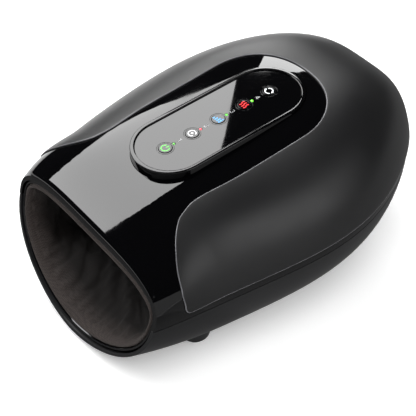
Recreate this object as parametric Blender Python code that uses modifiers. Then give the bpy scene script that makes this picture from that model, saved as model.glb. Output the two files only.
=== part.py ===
"""Hand massager: a rounded housing whose mouth takes the hand, with a control pod on top.

Units are metres. In the body's own frame x runs across, y from the mouth to the rear and z up
from the underside. The root empty then puts the body on its feet over the world origin.
"""
import math

import bmesh
import bpy
import numpy as np

mm = 0.001

# Housing shape. The width and the crest are smooth curves of the length, given as shares. Places
# and reaches along the body are shares of its length, those across it are shares of its half width.
body_length = 259.6 * mm
half_width = 93.0 * mm
crest_height = 60.0 * mm
seam_front = 50.4 * mm
seam_rear = 68.0 * mm
flat_base = 0.31048 * body_length
mouth_setback = 7.9 * mm
section_change = 0.26965 * body_length
width_shares = (0.674, 1.014, 0.632, 1.531, 0.704, 1.069)
crest_shares = (-0.489, 1.807, 0.082, 1.032, 0.904, 1.231)
width_power = 5.33
crest_power = 4.0
base_power = 1.74
mouth_lean = 0.29
upper_powers = ((4.06, 5.05), (3.84, 1.51))
lower_powers = ((1.80, 2.05), (2.75, 2.40))

# Shells, clearances and mesh counts.
wall = 2.4 * mm
gap = 0.3 * mm
hull_steps = 10
hull_rows = 15
round_steps = 16
small_steps = 10

# Soft cover: a skin on the upper housing, cut away over the fascia.
cover_thickness = 1.2 * mm
cover_gap = 0.6 * mm
cover_hem = 5.2 * mm
cover_front = 0.16641 * body_length
cover_corner = 3.5 * mm
fascia_half_width = 0.46452 * half_width
fascia_end = 0.75616 * body_length
fascia_round = 0.15408 * body_length
fascia_power = 2.15
# Shoulder line of the cover, as shares of half_width and body_length, from the fascia outward.
shoulder_shares = ((0.4645, 0.385), (0.4645, 0.286), (0.476, 0.251), (0.559, 0.2125), (0.624, 0.1955),
                   (0.710, 0.177), (0.796, 0.1674), (0.900, 0.162), (1.100, 0.150))
shoulder_steps = 4
shoulder_lead = 0.06

# Mouth: a hard ring inside the housing, then the fabric collar down to the tunnel.
ring_width = 2.6 * mm
ring_depth = 8.0 * mm
ring_recess = 0.6 * mm
collar_thickness = 3.0 * mm
collar_recess = 1.2 * mm
collar_gap = 0.8 * mm
collar_rows = 4

# Control pod.
first_button = 0.33205 * body_length
button_pitch = 0.07681 * body_length
pod_stand_front = 4.3 * mm
pod_stand_rear = 1.6 * mm
pod_half_width = 0.26882 * half_width
pod_rim_width = 2.6 * mm
pod_end_front = 4.6 * mm
pod_end_rear = 3.0 * mm
pod_depth = 14.0 * mm
panel_recess = 0.8 * mm
panel_thickness = 2.0 * mm
button_radius = 4.1 * mm
button_stand = 0.3 * mm
button_travel = 0.8 * mm
button_flange = 0.8 * mm
lens_radius = 0.9 * mm
lens_behind = 6.2 * mm
board_depth = 9.0 * mm
board_thickness = 1.6 * mm
switch_side = 6.0 * mm
switch_height = 3.5 * mm
board_post_radius = 2.4 * mm
board_post_x = 0.16129 * half_width
board_screw_radius = 0.9 * mm
board_screw_head = 1.9 * mm
board_screw_length = 6.0 * mm
button_names = ("power_button", "mode_button", "intensity_button", "heat_button", "timer_button")

# Feet and housing screws.
foot_radius = 7.5 * mm
foot_drop = 3.0 * mm
foot_recess = 1.0 * mm
boss_rim = 1.8 * mm
boss_flare = 3.0 * mm
front_foot_x = 0.54839 * half_width
front_foot_y = 0.26194 * body_length
rear_foot_x = 0.49462 * half_width
rear_foot_y = 0.64715 * body_length
screw_radius = 1.5 * mm
screw_head = 3.2 * mm
screw_head_height = 2.2 * mm
screw_grip = 9.0 * mm
screw_bite = 10.0 * mm
screw_sink = 8.0 * mm
post_radius = 5.2 * mm
front_screw_y = 0.34284 * body_length
rear_screw_y = 0.72804 * body_length

# Tunnel for the hand.
tunnel_front = 0.20031 * body_length
tunnel_length = 0.53929 * body_length
tunnel_width_share = 0.667
tunnel_taper = 0.10753 * half_width
taper_length = 0.13097 * body_length
tunnel_power = 5.0
tunnel_wall = 2.0 * mm
floor_clearance = 2.4 * mm
roof_clearance = 10.5 * mm
taper_steps = 4
rib_thickness = 2.0 * mm
rib_half_width = 0.38710 * half_width
rib_front_y = 0.31587 * body_length
rib_rear_y = 0.60863 * body_length

# What presses on the hand.
pad_half_width = 0.45161 * half_width
pad_corner = 10.0 * mm
cell_height = 5.0 * mm
pad_thickness = 2.5 * mm
mat_thickness = 0.8 * mm
node_radius = 4.5 * mm
node_height = 1.8 * mm
hand_pad_length = 0.23883 * body_length
finger_pad_length = 0.19260 * body_length
pad_spacing = 4.0 * mm
pad_start = 0.04622 * body_length
pad_bevel = 1.0 * mm
corner_clearance = 1.6 * mm

# Air system, battery and socket.
side_share = 0.39
side_clearance = 1.0 * mm
motor_length = 0.11556 * body_length
motor_nose = 1.5 * mm
shaft_radius = 1.2 * mm
eccentric_throw = 1.4 * mm
eccentric_width = 5.0 * mm
pump_length = 0.08475 * body_length
pump_start = 0.37750 * body_length
strap_thickness = 1.2 * mm
strap_width = 5.0 * mm
valve_width = 13.0 * mm
valve_height = 18.0 * mm
valve_spacing = 0.06934 * body_length
manifold_height = 7.0 * mm
tube_radius = 1.8 * mm
port_shares = (0.15, 0.5, 0.85)
outlet_share = 0.2
cell_radius = 0.03544 * body_length
cell_length = 0.69892 * half_width
holder_wall = 2.0 * mm
socket_width = 9.0 * mm
socket_height = 3.6 * mm
socket_depth = 11.0 * mm
socket_wall = 0.7 * mm
socket_drop = 11.0 * mm

tau = 2 * math.pi


# The scene is cleared, then gets one collection for the parts and one for the cutters.
for old in list(bpy.data.objects):
    bpy.data.objects.remove(old, do_unlink=True)
parts = bpy.data.collections.new("hand_massager")
cutters = bpy.data.collections.new("cutters")
for collection in (parts, cutters):
    bpy.context.scene.collection.children.link(collection)


def material(name, colour, roughness, metallic=0.0):
    """Plain Principled material; the looks are made in the scene script."""
    made = bpy.data.materials.new(name)
    made.use_nodes = True
    shader = made.node_tree.nodes["Principled BSDF"]
    shader.inputs["Base Color"].default_value = (*colour, 1)
    shader.inputs["Roughness"].default_value = roughness
    shader.inputs["Metallic"].default_value = metallic
    made.diffuse_color = (*colour, 1)
    return made


def empty(name, parent=None, location=(0, 0, 0), lean=0.0):
    """Frame that pieces are placed in; lean turns it about x."""
    made = bpy.data.objects.new(name, None)
    parts.objects.link(made)
    made.parent = parent
    made.location = location
    made.rotation_euler = (lean, 0, 0)
    return made


def solid(name, bm, look=None, parent=None, location=(0, 0, 0)):
    """Object from a bmesh: a part when it has a look, otherwise a cutter."""
    bmesh.ops.recalc_face_normals(bm, faces=bm.faces)
    mesh = bpy.data.meshes.new(name)
    bm.to_mesh(mesh)
    bm.free()
    made = bpy.data.objects.new(name, mesh)
    made.parent = parent
    made.location = location
    if look is None:
        cutters.objects.link(made)
        made.hide_render = True
        made.display_type = "WIRE"
    else:
        parts.objects.link(made)
        own = look.copy()
        own.name = name + "_" + look.name
        mesh.materials.append(own)
    return made


def boolean(target, other, how="DIFFERENCE"):
    """Exact Boolean with one cutter."""
    step = target.modifiers.new(how.lower(), "BOOLEAN")
    step.operation = how
    step.solver = "EXACT"
    step.object = other


def bevel(target, width, segments=2):
    step = target.modifiers.new("bevel", "BEVEL")
    step.width = width
    step.segments = segments
    step.limit_method = "ANGLE"


def merge(*pieces):
    """One bmesh out of several."""
    whole = bmesh.new()
    for piece in pieces:
        mesh = bpy.data.meshes.new("scratch")
        piece.to_mesh(mesh)
        piece.free()
        whole.from_mesh(mesh)
        bpy.data.meshes.remove(mesh)
    return whole


def prism(outline, low, high):
    """Closed prism over a plan outline."""
    bm = bmesh.new()
    face = bm.faces.new([bm.verts.new((x, y, low)) for x, y in outline])
    top = bmesh.ops.extrude_face_region(bm, geom=[face])
    moved = [v for v in top["geom"] if isinstance(v, bmesh.types.BMVert)]
    bmesh.ops.translate(bm, verts=moved, vec=(0, 0, high - low))
    return bm


def box(x, y, z):
    """Block from three (low, high) pairs."""
    return prism([(x[0], y[0]), (x[1], y[0]), (x[1], y[1]), (x[0], y[1])], z[0], z[1])


def circle(radius, centre=(0, 0), steps=round_steps):
    turns = [tau * k / steps for k in range(steps)]
    return [(centre[0] + radius * math.cos(a), centre[1] + radius * math.sin(a)) for a in turns]


def disc(radius, low, high, centre=(0, 0), steps=round_steps):
    return prism(circle(radius, centre, steps), low, high)


def lying(radius, start, end, x=0.0, z=0.0, steps=round_steps):
    """Cylinder along y, from start to end."""
    bm = bmesh.new()
    ring = [bm.verts.new((x + a, start, z + b)) for a, b in circle(radius, steps=steps)]
    face = bm.faces.new(ring)
    far = bmesh.ops.extrude_face_region(bm, geom=[face])
    moved = [v for v in far["geom"] if isinstance(v, bmesh.types.BMVert)]
    bmesh.ops.translate(bm, verts=moved, vec=(0, end - start, 0))
    return bm


def cross_cylinder(radius, start, end, y, z, steps=round_steps):
    """Cylinder along x."""
    bm = bmesh.new()
    face = bm.faces.new([bm.verts.new((start, y + a, z + b)) for a, b in circle(radius, steps=steps)])
    far = bmesh.ops.extrude_face_region(bm, geom=[face])
    moved = [v for v in far["geom"] if isinstance(v, bmesh.types.BMVert)]
    bmesh.ops.translate(bm, verts=moved, vec=(end - start, 0, 0))
    return bm


def stadium(half, start, end, steps=10):
    """Plan outline of a slot: half its width, and the y of its two end centres."""
    line = []
    for k in range(steps + 1):
        a = math.pi * k / steps
        line.append((half * math.cos(a), end + half * math.sin(a)))
    for k in range(steps + 1):
        a = math.pi + math.pi * k / steps
        line.append((half * math.cos(a), start + half * math.sin(a)))
    return line


def rounded(x, y, corner, steps=3):
    """Rounded rectangle from two (low, high) pairs."""
    line = []
    corners = ((x[1], y[1], 1, 1), (x[0], y[1], -1, 1), (x[0], y[0], -1, -1), (x[1], y[0], 1, -1))
    for k, (cx, cy, sx, sy) in enumerate(corners):
        for j in range(steps + 1):
            a = math.pi / 2 * (k + j / steps)
            line.append((cx - sx * corner + corner * math.cos(a), cy - sy * corner + corner * math.sin(a)))
    return line


def bernstein(shares, s):
    """Smooth curve through a short table of shares."""
    n = len(shares) - 1
    return sum(math.comb(n, i) * s ** i * (1 - s) ** (n - i) * shares[i] for i in range(n + 1))


def seam_z(y):
    return seam_front + (seam_rear - seam_front) * y / body_length


def hull_size(y, upper, out=0.0):
    """Half width, and height over or depth under the seam, of the hull grown by out."""
    s = min(max(y / (body_length + out), 0), 1)
    half = (half_width * bernstein(width_shares, s) + out) * math.sqrt(1 - s ** width_power)
    if upper:
        tall = (crest_height * bernstein(crest_shares, s) + out) * math.sqrt(1 - s ** crest_power)
    else:
        t = max(s * body_length - flat_base, 0) / (body_length - flat_base)
        tall = (seam_z(s * body_length) + out) * math.sqrt(max(1 - t ** base_power, 0))
    return half, tall


def hull_powers(y, upper):
    """Section powers, which change over the first part of the length."""
    u = min(max(y / section_change, 0), 1)
    u = u * u * (3 - 2 * u)
    first, last = upper_powers if upper else lower_powers
    return [a + (b - a) * u for a, b in zip(first, last)]


def even_point(share, half, tall, powers, hem=0.0):
    """Point (x, height) at an even share of a quarter section, from its side to its crest."""
    n, m = powers
    first = math.asin(min(hem / tall, 1) ** (m / 2)) if hem and tall > 0 else 0.0
    turns = np.linspace(first, math.pi / 2, 49)
    x = half * np.cos(turns).clip(0) ** (2 / n)
    z = tall * np.sin(turns).clip(0) ** (2 / m)
    along = np.concatenate([[0], np.cumsum(np.hypot(np.diff(x), np.diff(z)))])
    turn = np.interp(share * along[-1], along, turns)
    return half * max(math.cos(turn), 0) ** (2 / n), tall * max(math.sin(turn), 0) ** (2 / m)


def hull_point(y, column, upper, out, part=0.0, hem=0.0):
    """Point of the hull in column 0 (right) to 2 * hull_steps (left); part opens the seam."""
    side = 1 if column <= hull_steps else -1
    share = column / hull_steps if side > 0 else 2 - column / hull_steps
    x, tall = even_point(share, *hull_size(y, upper, out), hull_powers(y, upper), hem)
    rise = part + tall if upper else -part - tall
    return side * x, y, seam_z(min(y, body_length)) + rise


def mouth_point(column, upper, out, part=0.0, depth=0.0):
    """Point of the hull on the leaning mouth plane, or depth behind it."""
    y = mouth_setback + depth
    for _ in range(24):
        y = mouth_setback + depth + mouth_lean * hull_point(y, column, upper, out, part)[2]
    return hull_point(y, column, upper, out, part)


def hull_z(x, y, upper, out=0.0):
    """Height of the hull over the point (x, y)."""
    half, tall = hull_size(y, upper, out)
    n, m = hull_powers(y, upper)
    rise = tall * max(1 - min(abs(x) / half, 1) ** n, 0) ** (1 / m)
    return seam_z(y) + (rise if upper else -rise)


def hull_x(y, z, out=0.0):
    """Half width of the hull at height z."""
    upper = z >= seam_z(y)
    half, tall = hull_size(y, upper, out)
    n, m = hull_powers(y, upper)
    return half * max(1 - min(abs(z - seam_z(y)) / tall, 1) ** m, 0) ** (1 / n)


def spread(k, count):
    """Rows close together at both ends."""
    u = k / count
    return 0.5 * (1 - math.cos(math.pi * u)) / 2 + 0.5 * math.sin(math.pi * u / 2)


def hull_grid(upper, out, part):
    """Rows of points from the mouth plane back, and the rear pole."""
    columns = range(2 * hull_steps + 1)
    mouth = [mouth_point(c, upper, out, part) for c in columns]
    rows = [mouth]
    end = body_length + out
    for k in range(1, hull_rows):
        reach = [m[1] + (end - m[1]) * spread(k, hull_rows) for m in mouth]
        rows.append([hull_point(y, c, upper, out, part) for y, c in zip(reach, columns)])
    pole = (0, end, seam_z(body_length) + (part if upper else -part))
    return rows, pole


def shell(outer, inner):
    """Closed shell between two grids that each end in a pole."""
    bm = bmesh.new()
    made = []
    for rows, pole in (outer, inner):
        grid = [[bm.verts.new(p) for p in row] for row in rows]
        tip = bm.verts.new(pole)
        for a, b in zip(grid, grid[1:]):
            for j in range(len(a) - 1):
                bm.faces.new((a[j], a[j + 1], b[j + 1], b[j]))
        last = grid[-1]
        for j in range(len(last) - 1):
            bm.faces.new((last[j], last[j + 1], tip))
        made.append([grid[0], [row[0] for row in grid] + [tip], [row[-1] for row in grid] + [tip]])
    for a, b in zip(*made):
        for j in range(len(a) - 1):
            bm.faces.new((a[j], a[j + 1], b[j + 1], b[j]))
    return bm


def offset_grid(grid, by):
    """The same grid moved out along its normals."""
    rows, pole = grid
    bm = bmesh.new()
    made = [[bm.verts.new(p) for p in row] for row in rows]
    tip = bm.verts.new(pole)
    for a, b in zip(made, made[1:]):
        for j in range(len(a) - 1):
            bm.faces.new((a[j], a[j + 1], b[j + 1], b[j]))
    for a, b in zip(made[-1], made[-1][1:]):
        bm.faces.new((a, b, tip))
    bm.normal_update()
    way = by if tip.normal.y > 0 else -by
    moved = [[tuple(v.co + v.normal * way) for v in row] for row in made]
    tip_moved = tuple(tip.co + tip.normal * way)
    bm.free()
    return moved, tip_moved


def loops_solid(loops):
    """Ring-shaped solid through closed loops of points, the last joined to the first."""
    bm = bmesh.new()
    grid = [[bm.verts.new(p) for p in loop] for loop in loops]
    for a, b in zip(grid, grid[1:] + grid[:1]):
        for j in range(len(a)):
            k = (j + 1) % len(a)
            bm.faces.new((a[j], a[k], b[k], b[j]))
    return bm


def filled(loops):
    """Solid through closed loops of points, closed by a face at both ends."""
    bm = bmesh.new()
    grid = [[bm.verts.new(p) for p in loop] for loop in loops]
    for a, b in zip(grid, grid[1:]):
        for j in range(len(a)):
            k = (j + 1) % len(a)
            bm.faces.new((a[j], a[k], b[k], b[j]))
    bm.faces.new(grid[0])
    bm.faces.new(grid[-1])
    return bm


def full_columns():
    """Columns all the way round: over the top from right to left, then back underneath."""
    over = [(c, True) for c in range(2 * hull_steps + 1)]
    under = [(c, False) for c in range(2 * hull_steps - 1, 0, -1)]
    return over + under


# Materials.
gloss_black = material("gloss_abs", (0.012, 0.012, 0.013), 0.08)
soft_black = material("soft_touch", (0.02, 0.02, 0.021), 0.55)
satin_grey = material("satin_abs", (0.03, 0.03, 0.032), 0.35)
fabric = material("collar_fabric", (0.08, 0.07, 0.065), 0.95)
rubber = material("rubber", (0.03, 0.03, 0.03), 0.8)
nylon = material("nylon", (0.5, 0.5, 0.48), 0.5)
air_film = material("tpu_film", (0.25, 0.3, 0.35), 0.45)
board_green = material("fibreglass", (0.02, 0.18, 0.06), 0.5)
steel = material("steel", (0.6, 0.6, 0.6), 0.3, 1.0)
clear = material("clear_lens", (0.6, 0.62, 0.6), 0.1)
heater = material("heating_film", (0.55, 0.3, 0.1), 0.5)
battery_wrap = material("battery_wrap", (0.05, 0.16, 0.4), 0.4)

# The body stands on its feet, and its bounding box is centred over the origin.
root = empty("massager")

# Tunnel measures.
tunnel_end = tunnel_front + tunnel_length
tunnel_half = tunnel_width_share * half_width
tunnel_low = hull_z(0, tunnel_end, False, -wall) + floor_clearance
tunnel_high = hull_z(0, tunnel_front, True, -wall) - roof_clearance
tunnel_mid = (tunnel_low + tunnel_high) / 2
tunnel_tall = (tunnel_high - tunnel_low) / 2

# Housings: two half shells that meet at the seam.
upper_housing = solid("upper_housing", shell(hull_grid(True, 0, gap / 2), hull_grid(True, -wall, gap / 2)),
                      gloss_black, root)
lower_housing = solid("lower_housing", shell(hull_grid(False, 0, gap / 2), hull_grid(False, -wall, gap / 2)),
                      satin_grey, root)

# Inner volume that trims posts and ribs, so that they end inside the wall.
core_loops = []
core_rows = {side: hull_grid(side, -wall / 2, 0)[0] for side in (True, False)}
for k in range(hull_rows):
    core_loops.append([core_rows[upper][k][c] for c, upper in full_columns()])
core = solid("core", filled(core_loops), None, root)

# Screw posts stand beside the tunnel. The upper one reaches down to the lower one.
screws = []
for y in (front_screw_y, rear_screw_y):
    inner = hull_size(y, False, -wall)[0]
    x = tunnel_half + (inner - tunnel_half) * (0.5 if y == front_screw_y else 0.42)
    seat = hull_z(x, y, False) + screw_sink
    for side in (1, -1):
        screws.append((side * x, y, seat))
low_posts = merge(*[disc(post_radius, 0, seat + screw_grip, (x, y), small_steps) for x, y, seat in screws])
top = crest_height + seam_rear
high_posts = merge(*[disc(post_radius, seat + screw_grip + gap, top, (x, y), small_steps)
                     for x, y, seat in screws])
ribs = merge(*[box((-rib_half_width, rib_half_width), (y, y + rib_thickness), (0, tunnel_low - gap))
               for y in (rib_front_y, rib_rear_y)])
low_inside = solid("low_inside", merge(low_posts, ribs), None, root)
high_inside = solid("high_inside", high_posts, None, root)
for inside, housing in ((low_inside, lower_housing), (high_inside, upper_housing)):
    boolean(inside, core, "INTERSECT")
    boolean(housing, inside, "UNION")

# Foot bosses under the lower housing, each with a shallow seat for its foot.
feet = [(side * x, y) for x, y in ((front_foot_x, front_foot_y), (rear_foot_x, rear_foot_y)) for side in (1, -1)]
boss_radius = foot_radius + gap + boss_rim
bosses = []
for x, y in feet:
    root_z = hull_z(abs(x) + boss_radius, y + boss_radius, False) + wall / 2
    foot_end, hull_end = circle(boss_radius, (x, y)), circle(boss_radius + boss_flare, (x, y))
    bosses.append(filled([[(*p, 0) for p in foot_end], [(*p, root_z) for p in hull_end]]))
boolean(lower_housing, solid("foot_bosses", merge(*bosses), None, root), "UNION")
seats = merge(*[disc(foot_radius + gap, -foot_drop, foot_recess, (x, y)) for x, y in feet])
boolean(lower_housing, solid("foot_seats", seats, None, root))
for name, (x, y) in zip(("front_right", "front_left", "rear_right", "rear_left"), feet):
    made = solid("foot_" + name, disc(foot_radius, -foot_drop, foot_recess - gap), rubber, root, (x, y, 0))
    bevel(made, foot_drop / 4, 1)

# Housing screws go up from wells in the underside.
wells = merge(*[disc(screw_head + gap, -foot_drop, seat, (x, y), small_steps) for x, y, seat in screws])
grips = merge(*[disc(screw_radius + gap, seat - screw_head_height, seat + screw_grip * 2, (x, y), small_steps)
                for x, y, seat in screws])
pilots = merge(*[disc(screw_radius + gap, seat + screw_grip - gap, seat + screw_grip + screw_bite + gap, (x, y),
                      small_steps) for x, y, seat in screws])
boolean(lower_housing, solid("screw_wells", wells, None, root))
boolean(lower_housing, solid("screw_holes", grips, None, root))
boolean(upper_housing, solid("screw_pilots", pilots, None, root))
for k, (x, y, seat) in enumerate(screws):
    head = disc(screw_head, -screw_head_height - gap, -gap, steps=small_steps)
    shaft = disc(screw_radius, -screw_head_height, screw_grip + screw_bite, steps=small_steps)
    drive = disc(screw_head / 2, -screw_head_height - gap, -screw_head_height / 2 - gap, steps=6)
    made = solid("housing_screw_%d" % (k + 1), head, steel, root, (x, y, seat))
    boolean(made, solid("screw_shaft_%d" % (k + 1), shaft, None, root, (x, y, seat)), "UNION")
    boolean(made, solid("screw_drive_%d" % (k + 1), drive, None, root, (x, y, seat)))

# Soft cover, cut by the plan outline of the fascia and the shoulders.
hull_top = hull_grid(True, 0, gap / 2)
cover_grids = [offset_grid(hull_top, out) for out in (cover_gap + cover_thickness, cover_gap)]
cover = solid("soft_cover", shell(*cover_grids), soft_black, root)


def smooth_line(points, steps):
    """Catmull-Rom curve through points."""
    line = []
    for k in range(1, len(points) - 2):
        p = [np.array(points[k + i]) for i in (-1, 0, 1, 2)]
        for j in range(steps):
            t = j / steps
            bend = 2 * p[0] - 5 * p[1] + 4 * p[2] - p[3]
            twist = 3 * p[1] - p[0] - 3 * p[2] + p[3]
            line.append(tuple(0.5 * (2 * p[1] + (p[2] - p[0]) * t + bend * t * t + twist * t ** 3)))
    line.append(tuple(points[-2]))
    return line


def fascia_outline(grow=0.0):
    """Plan outline of what the cover leaves bare."""
    end_centre = fascia_end - fascia_round
    right = []
    for k in range(14):
        a = math.pi / 2 * (1 - k / 14)
        right.append(((fascia_half_width + grow) * math.cos(a) ** (2 / fascia_power),
                      end_centre + (fascia_round + grow) * math.sin(a) ** (2 / fascia_power)))
    first = shoulder_shares[0]
    lead = [(first[0], end_centre / body_length + shoulder_lead)]
    points = [(sx * half_width, sy * body_length) for sx, sy in lead + list(shoulder_shares)]
    right += smooth_line(points + [points[-1]], shoulder_steps)
    right.append((right[-1][0], -mouth_setback))
    left = [(-x, y) for x, y in reversed(right[1:])]
    return right + left


def hem_outline():
    """Side outline (y, z) of what lies below the hem or before the front edge, with a round corner."""
    corner = (cover_front + cover_corner, seam_z(cover_front) + cover_hem + cover_corner)
    arc = []
    for k in range(7):
        a = math.pi * (1 + k / 12)
        arc.append((corner[0] + cover_corner * math.cos(a), corner[1] + cover_corner * math.sin(a)))
    beyond = body_length + wall + cover_hem
    return [(-mouth_setback, top * 2), (cover_front, top * 2)] + arc + [
        (beyond, seam_z(beyond) + cover_hem), (beyond, -mouth_setback), (-mouth_setback, -mouth_setback)]


fascia_cut = solid("fascia_cut", prism(fascia_outline(), 0, top * 2), None, root)
hem = prism(hem_outline(), -2 * half_width, 2 * half_width)
for vertex in hem.verts:
    vertex.co = (vertex.co.z, vertex.co.x, vertex.co.y)
boolean(cover, solid("hem_cut", hem, None, root))
boolean(cover, fascia_cut)

# Mouth ring and collar.
ring_out = -wall - 2 * gap
ring_in = ring_out - ring_width


def mouth_band(out, depth):
    """Loop on the hull's first band of facets, depth behind the mouth plane."""
    grids = {side: hull_grid(side, out, 0)[0] for side in (True, False)}
    share = depth / (grids[True][1][0][1] - grids[True][0][0][1])
    pairs = [(grids[upper][0][c], grids[upper][1][c]) for c, upper in full_columns()]
    return [tuple(a + (b - a) * share for a, b in zip(*pair)) for pair in pairs]


ring_back = ring_recess + ring_depth
ring_loops = [mouth_band(ring_out, ring_recess), mouth_band(ring_out, ring_back),
              mouth_band(ring_in, ring_back), mouth_band(ring_in, ring_recess)]
solid("mouth_ring", loops_solid(ring_loops), gloss_black, root)


def tunnel_point(column, upper, y, out=0.0):
    """Point of the tunnel's section; the column runs over the same steps as the hull's."""
    side = 1 if column <= hull_steps else -1
    share = column / hull_steps if side > 0 else 2 - column / hull_steps
    u = min(max(1 - (tunnel_end - y) / taper_length, 0), 1)
    half = tunnel_half - tunnel_taper * u * u * (3 - 2 * u)
    x, tall = even_point(share, half + out, tunnel_tall + out, (tunnel_power, tunnel_power))
    return side * x, y, tunnel_mid + (tall if upper else -tall)


def tunnel_loop(y, out=0.0):
    return [tunnel_point(c, upper, y, out) for c, upper in full_columns()]


def collar_loop(u, inward):
    """Loop between the lip (u = 0) and the tunnel (u = 1)."""
    lip = mouth_band(ring_in - collar_gap - inward, collar_recess)
    deep = tunnel_loop(tunnel_front - gap, -inward)
    bend = u * u * (3 - 2 * u)
    return [(a[0] + (b[0] - a[0]) * bend, a[1] + (b[1] - a[1]) * u, a[2] + (b[2] - a[2]) * bend)
            for a, b in zip(lip, deep)]


outward = [collar_loop(k / collar_rows, 0) for k in range(collar_rows + 1)]
inward = [collar_loop(k / collar_rows, collar_thickness) for k in range(collar_rows, -1, -1)]
solid("mouth_collar", loops_solid(outward + inward), fabric, root)

# Tunnel frame over the hand and palm tray under it.


def tunnel_half_grid(upper, out, end):
    rows = []
    taper_start = end - taper_length
    for y in [tunnel_front] + [taper_start + taper_length * k / taper_steps for k in range(taper_steps + 1)]:
        row = [tunnel_point(c, upper, y, out) for c in range(2 * hull_steps + 1)]
        lift = gap / 2 if upper else -gap / 2
        row = [(x, yy, z + lift if c in (0, 2 * hull_steps) else z) for c, (x, yy, z) in enumerate(row)]
        rows.append(row)
    return rows, (0, end, tunnel_mid + (gap / 2 if upper else -gap / 2))


frame = solid("tunnel_frame", shell(tunnel_half_grid(True, 0, tunnel_end),
                                    tunnel_half_grid(True, -tunnel_wall, tunnel_end - tunnel_wall)), nylon, root)
tray = solid("palm_tray", shell(tunnel_half_grid(False, 0, tunnel_end),
                                tunnel_half_grid(False, -tunnel_wall, tunnel_end - tunnel_wall)), nylon, root)

# Air cells, press pads and the palm plate, stacked from the roof down and from the floor up.
pad_y = tunnel_front + pad_start
hand_y = (pad_y, pad_y + hand_pad_length)
finger_y = (hand_y[1] + pad_spacing, hand_y[1] + pad_spacing + finger_pad_length)
palm_y = (pad_y, finger_y[1])
pad_x = (-pad_half_width, pad_half_width)
roof = tunnel_high - tunnel_wall - corner_clearance
floor = tunnel_low + tunnel_wall + corner_clearance


def pad(name, y, low, high, look, location_z):
    made = solid(name, prism(rounded(pad_x, y, pad_corner), low - location_z, high - location_z),
                 look, root, (0, 0, location_z))
    return made


cell_low = roof - cell_height
pad_high = cell_low - gap
for label, y in (("hand", hand_y), ("finger", finger_y)):
    bevel(pad(label + "_air_cell", y, cell_low, roof, air_film, cell_low), pad_bevel, 1)
    bevel(pad(label + "_press_pad", y, pad_high - pad_thickness, pad_high, rubber, pad_high), pad_bevel, 1)
palm_cell_high = floor + cell_height
mat_low = palm_cell_high + gap
plate_low = mat_low + mat_thickness + gap
plate_high = plate_low + pad_thickness
bevel(pad("palm_air_cell", palm_y, floor, palm_cell_high, air_film, floor), pad_bevel, 1)
pad("heating_mat", palm_y, mat_low, mat_low + mat_thickness, heater, mat_low)
palm_plate = pad("palm_plate", palm_y, plate_low, plate_high, rubber, plate_low)
dots = []
rows_of_nodes = 4
for j in range(rows_of_nodes):
    y = palm_y[0] + (palm_y[1] - palm_y[0]) * (j + 0.5) / rows_of_nodes
    for k in (-1, 0, 1):
        dot = filled([[(a, b, plate_high - pad_thickness / 2) for a, b in circle(node_radius, (0, 0), 8)],
                      [(a, b, plate_high) for a, b in circle(node_radius, (0, 0), 8)],
                      [(a, b, plate_high + node_height) for a, b in circle(node_radius / 2, (0, 0), 8)]])
        bmesh.ops.translate(dot, verts=dot.verts, vec=(k * pad_half_width * 0.6, y, 0))
        dots.append(dot)
boolean(palm_plate, solid("palm_nodes", merge(*dots), None, root), "UNION")

# Control pod, in a frame that lies in the plane of its rim.
button_ys = [first_button + k * button_pitch for k in range(5)]
pod_z = hull_z(0, button_ys[0], True) + pod_stand_front
pod_lean = math.atan((hull_z(0, button_ys[4], True) + pod_stand_rear - pod_z) / (button_ys[4] - button_ys[0]))
pod = empty("pod", root, (0, first_button, pod_z), pod_lean)
pod_start = pod_end_front
pod_stop = 4 * button_pitch - pod_end_rear


def slot(half, low, high):
    return prism(stadium(half, pod_start, pod_stop), low, high)


pod_inner = pod_half_width - pod_rim_width
boolean(upper_housing, solid("pod_opening", slot(pod_half_width + gap, -2 * pod_depth, pod_depth), None, pod))
pod_rim = solid("pod_rim", slot(pod_half_width, -pod_depth, 0), gloss_black, pod)
boolean(pod_rim, solid("pod_hollow", slot(pod_inner, -2 * pod_depth, pod_depth), None, pod))
bevel(pod_rim, panel_recess, 1)
panel_top = -panel_recess
panel_low = panel_top - panel_thickness
panel = solid("pod_panel", slot(pod_inner - gap, panel_low, panel_top), gloss_black, pod)
lens_ys = [k * button_pitch + lens_behind for k in range(4)]
holes = [disc(button_radius + gap, -pod_depth, pod_depth, (0, k * button_pitch)) for k in range(5)]
holes += [disc(lens_radius + gap, -pod_depth, pod_depth, (0, y), small_steps) for y in lens_ys]
board_top = -board_depth
posts = [(side * board_post_x, (k + 0.5) * button_pitch) for k in (0, 3) for side in (1, -1)]
post_solids = merge(*[disc(board_post_radius, board_top + gap, panel_low + gap, p, small_steps) for p in posts])
boolean(panel, solid("panel_posts", post_solids, None, pod), "UNION")
boolean(panel, solid("panel_holes", merge(*holes), None, pod))
post_holes = merge(*[disc(board_screw_radius + gap, -2 * pod_depth, panel_low - 2 * gap, p, small_steps) for p in posts])
boolean(panel, solid("post_holes", post_holes, None, pod))
board = solid("control_board", slot(pod_inner - 3 * gap, board_top - board_thickness, board_top), board_green, pod)
board_holes = merge(*[disc(board_screw_radius + gap, -2 * pod_depth, 0, p, small_steps) for p in posts])
boolean(board, solid("board_holes", board_holes, None, pod))
switch_top = board_top + gap + switch_height
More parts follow.
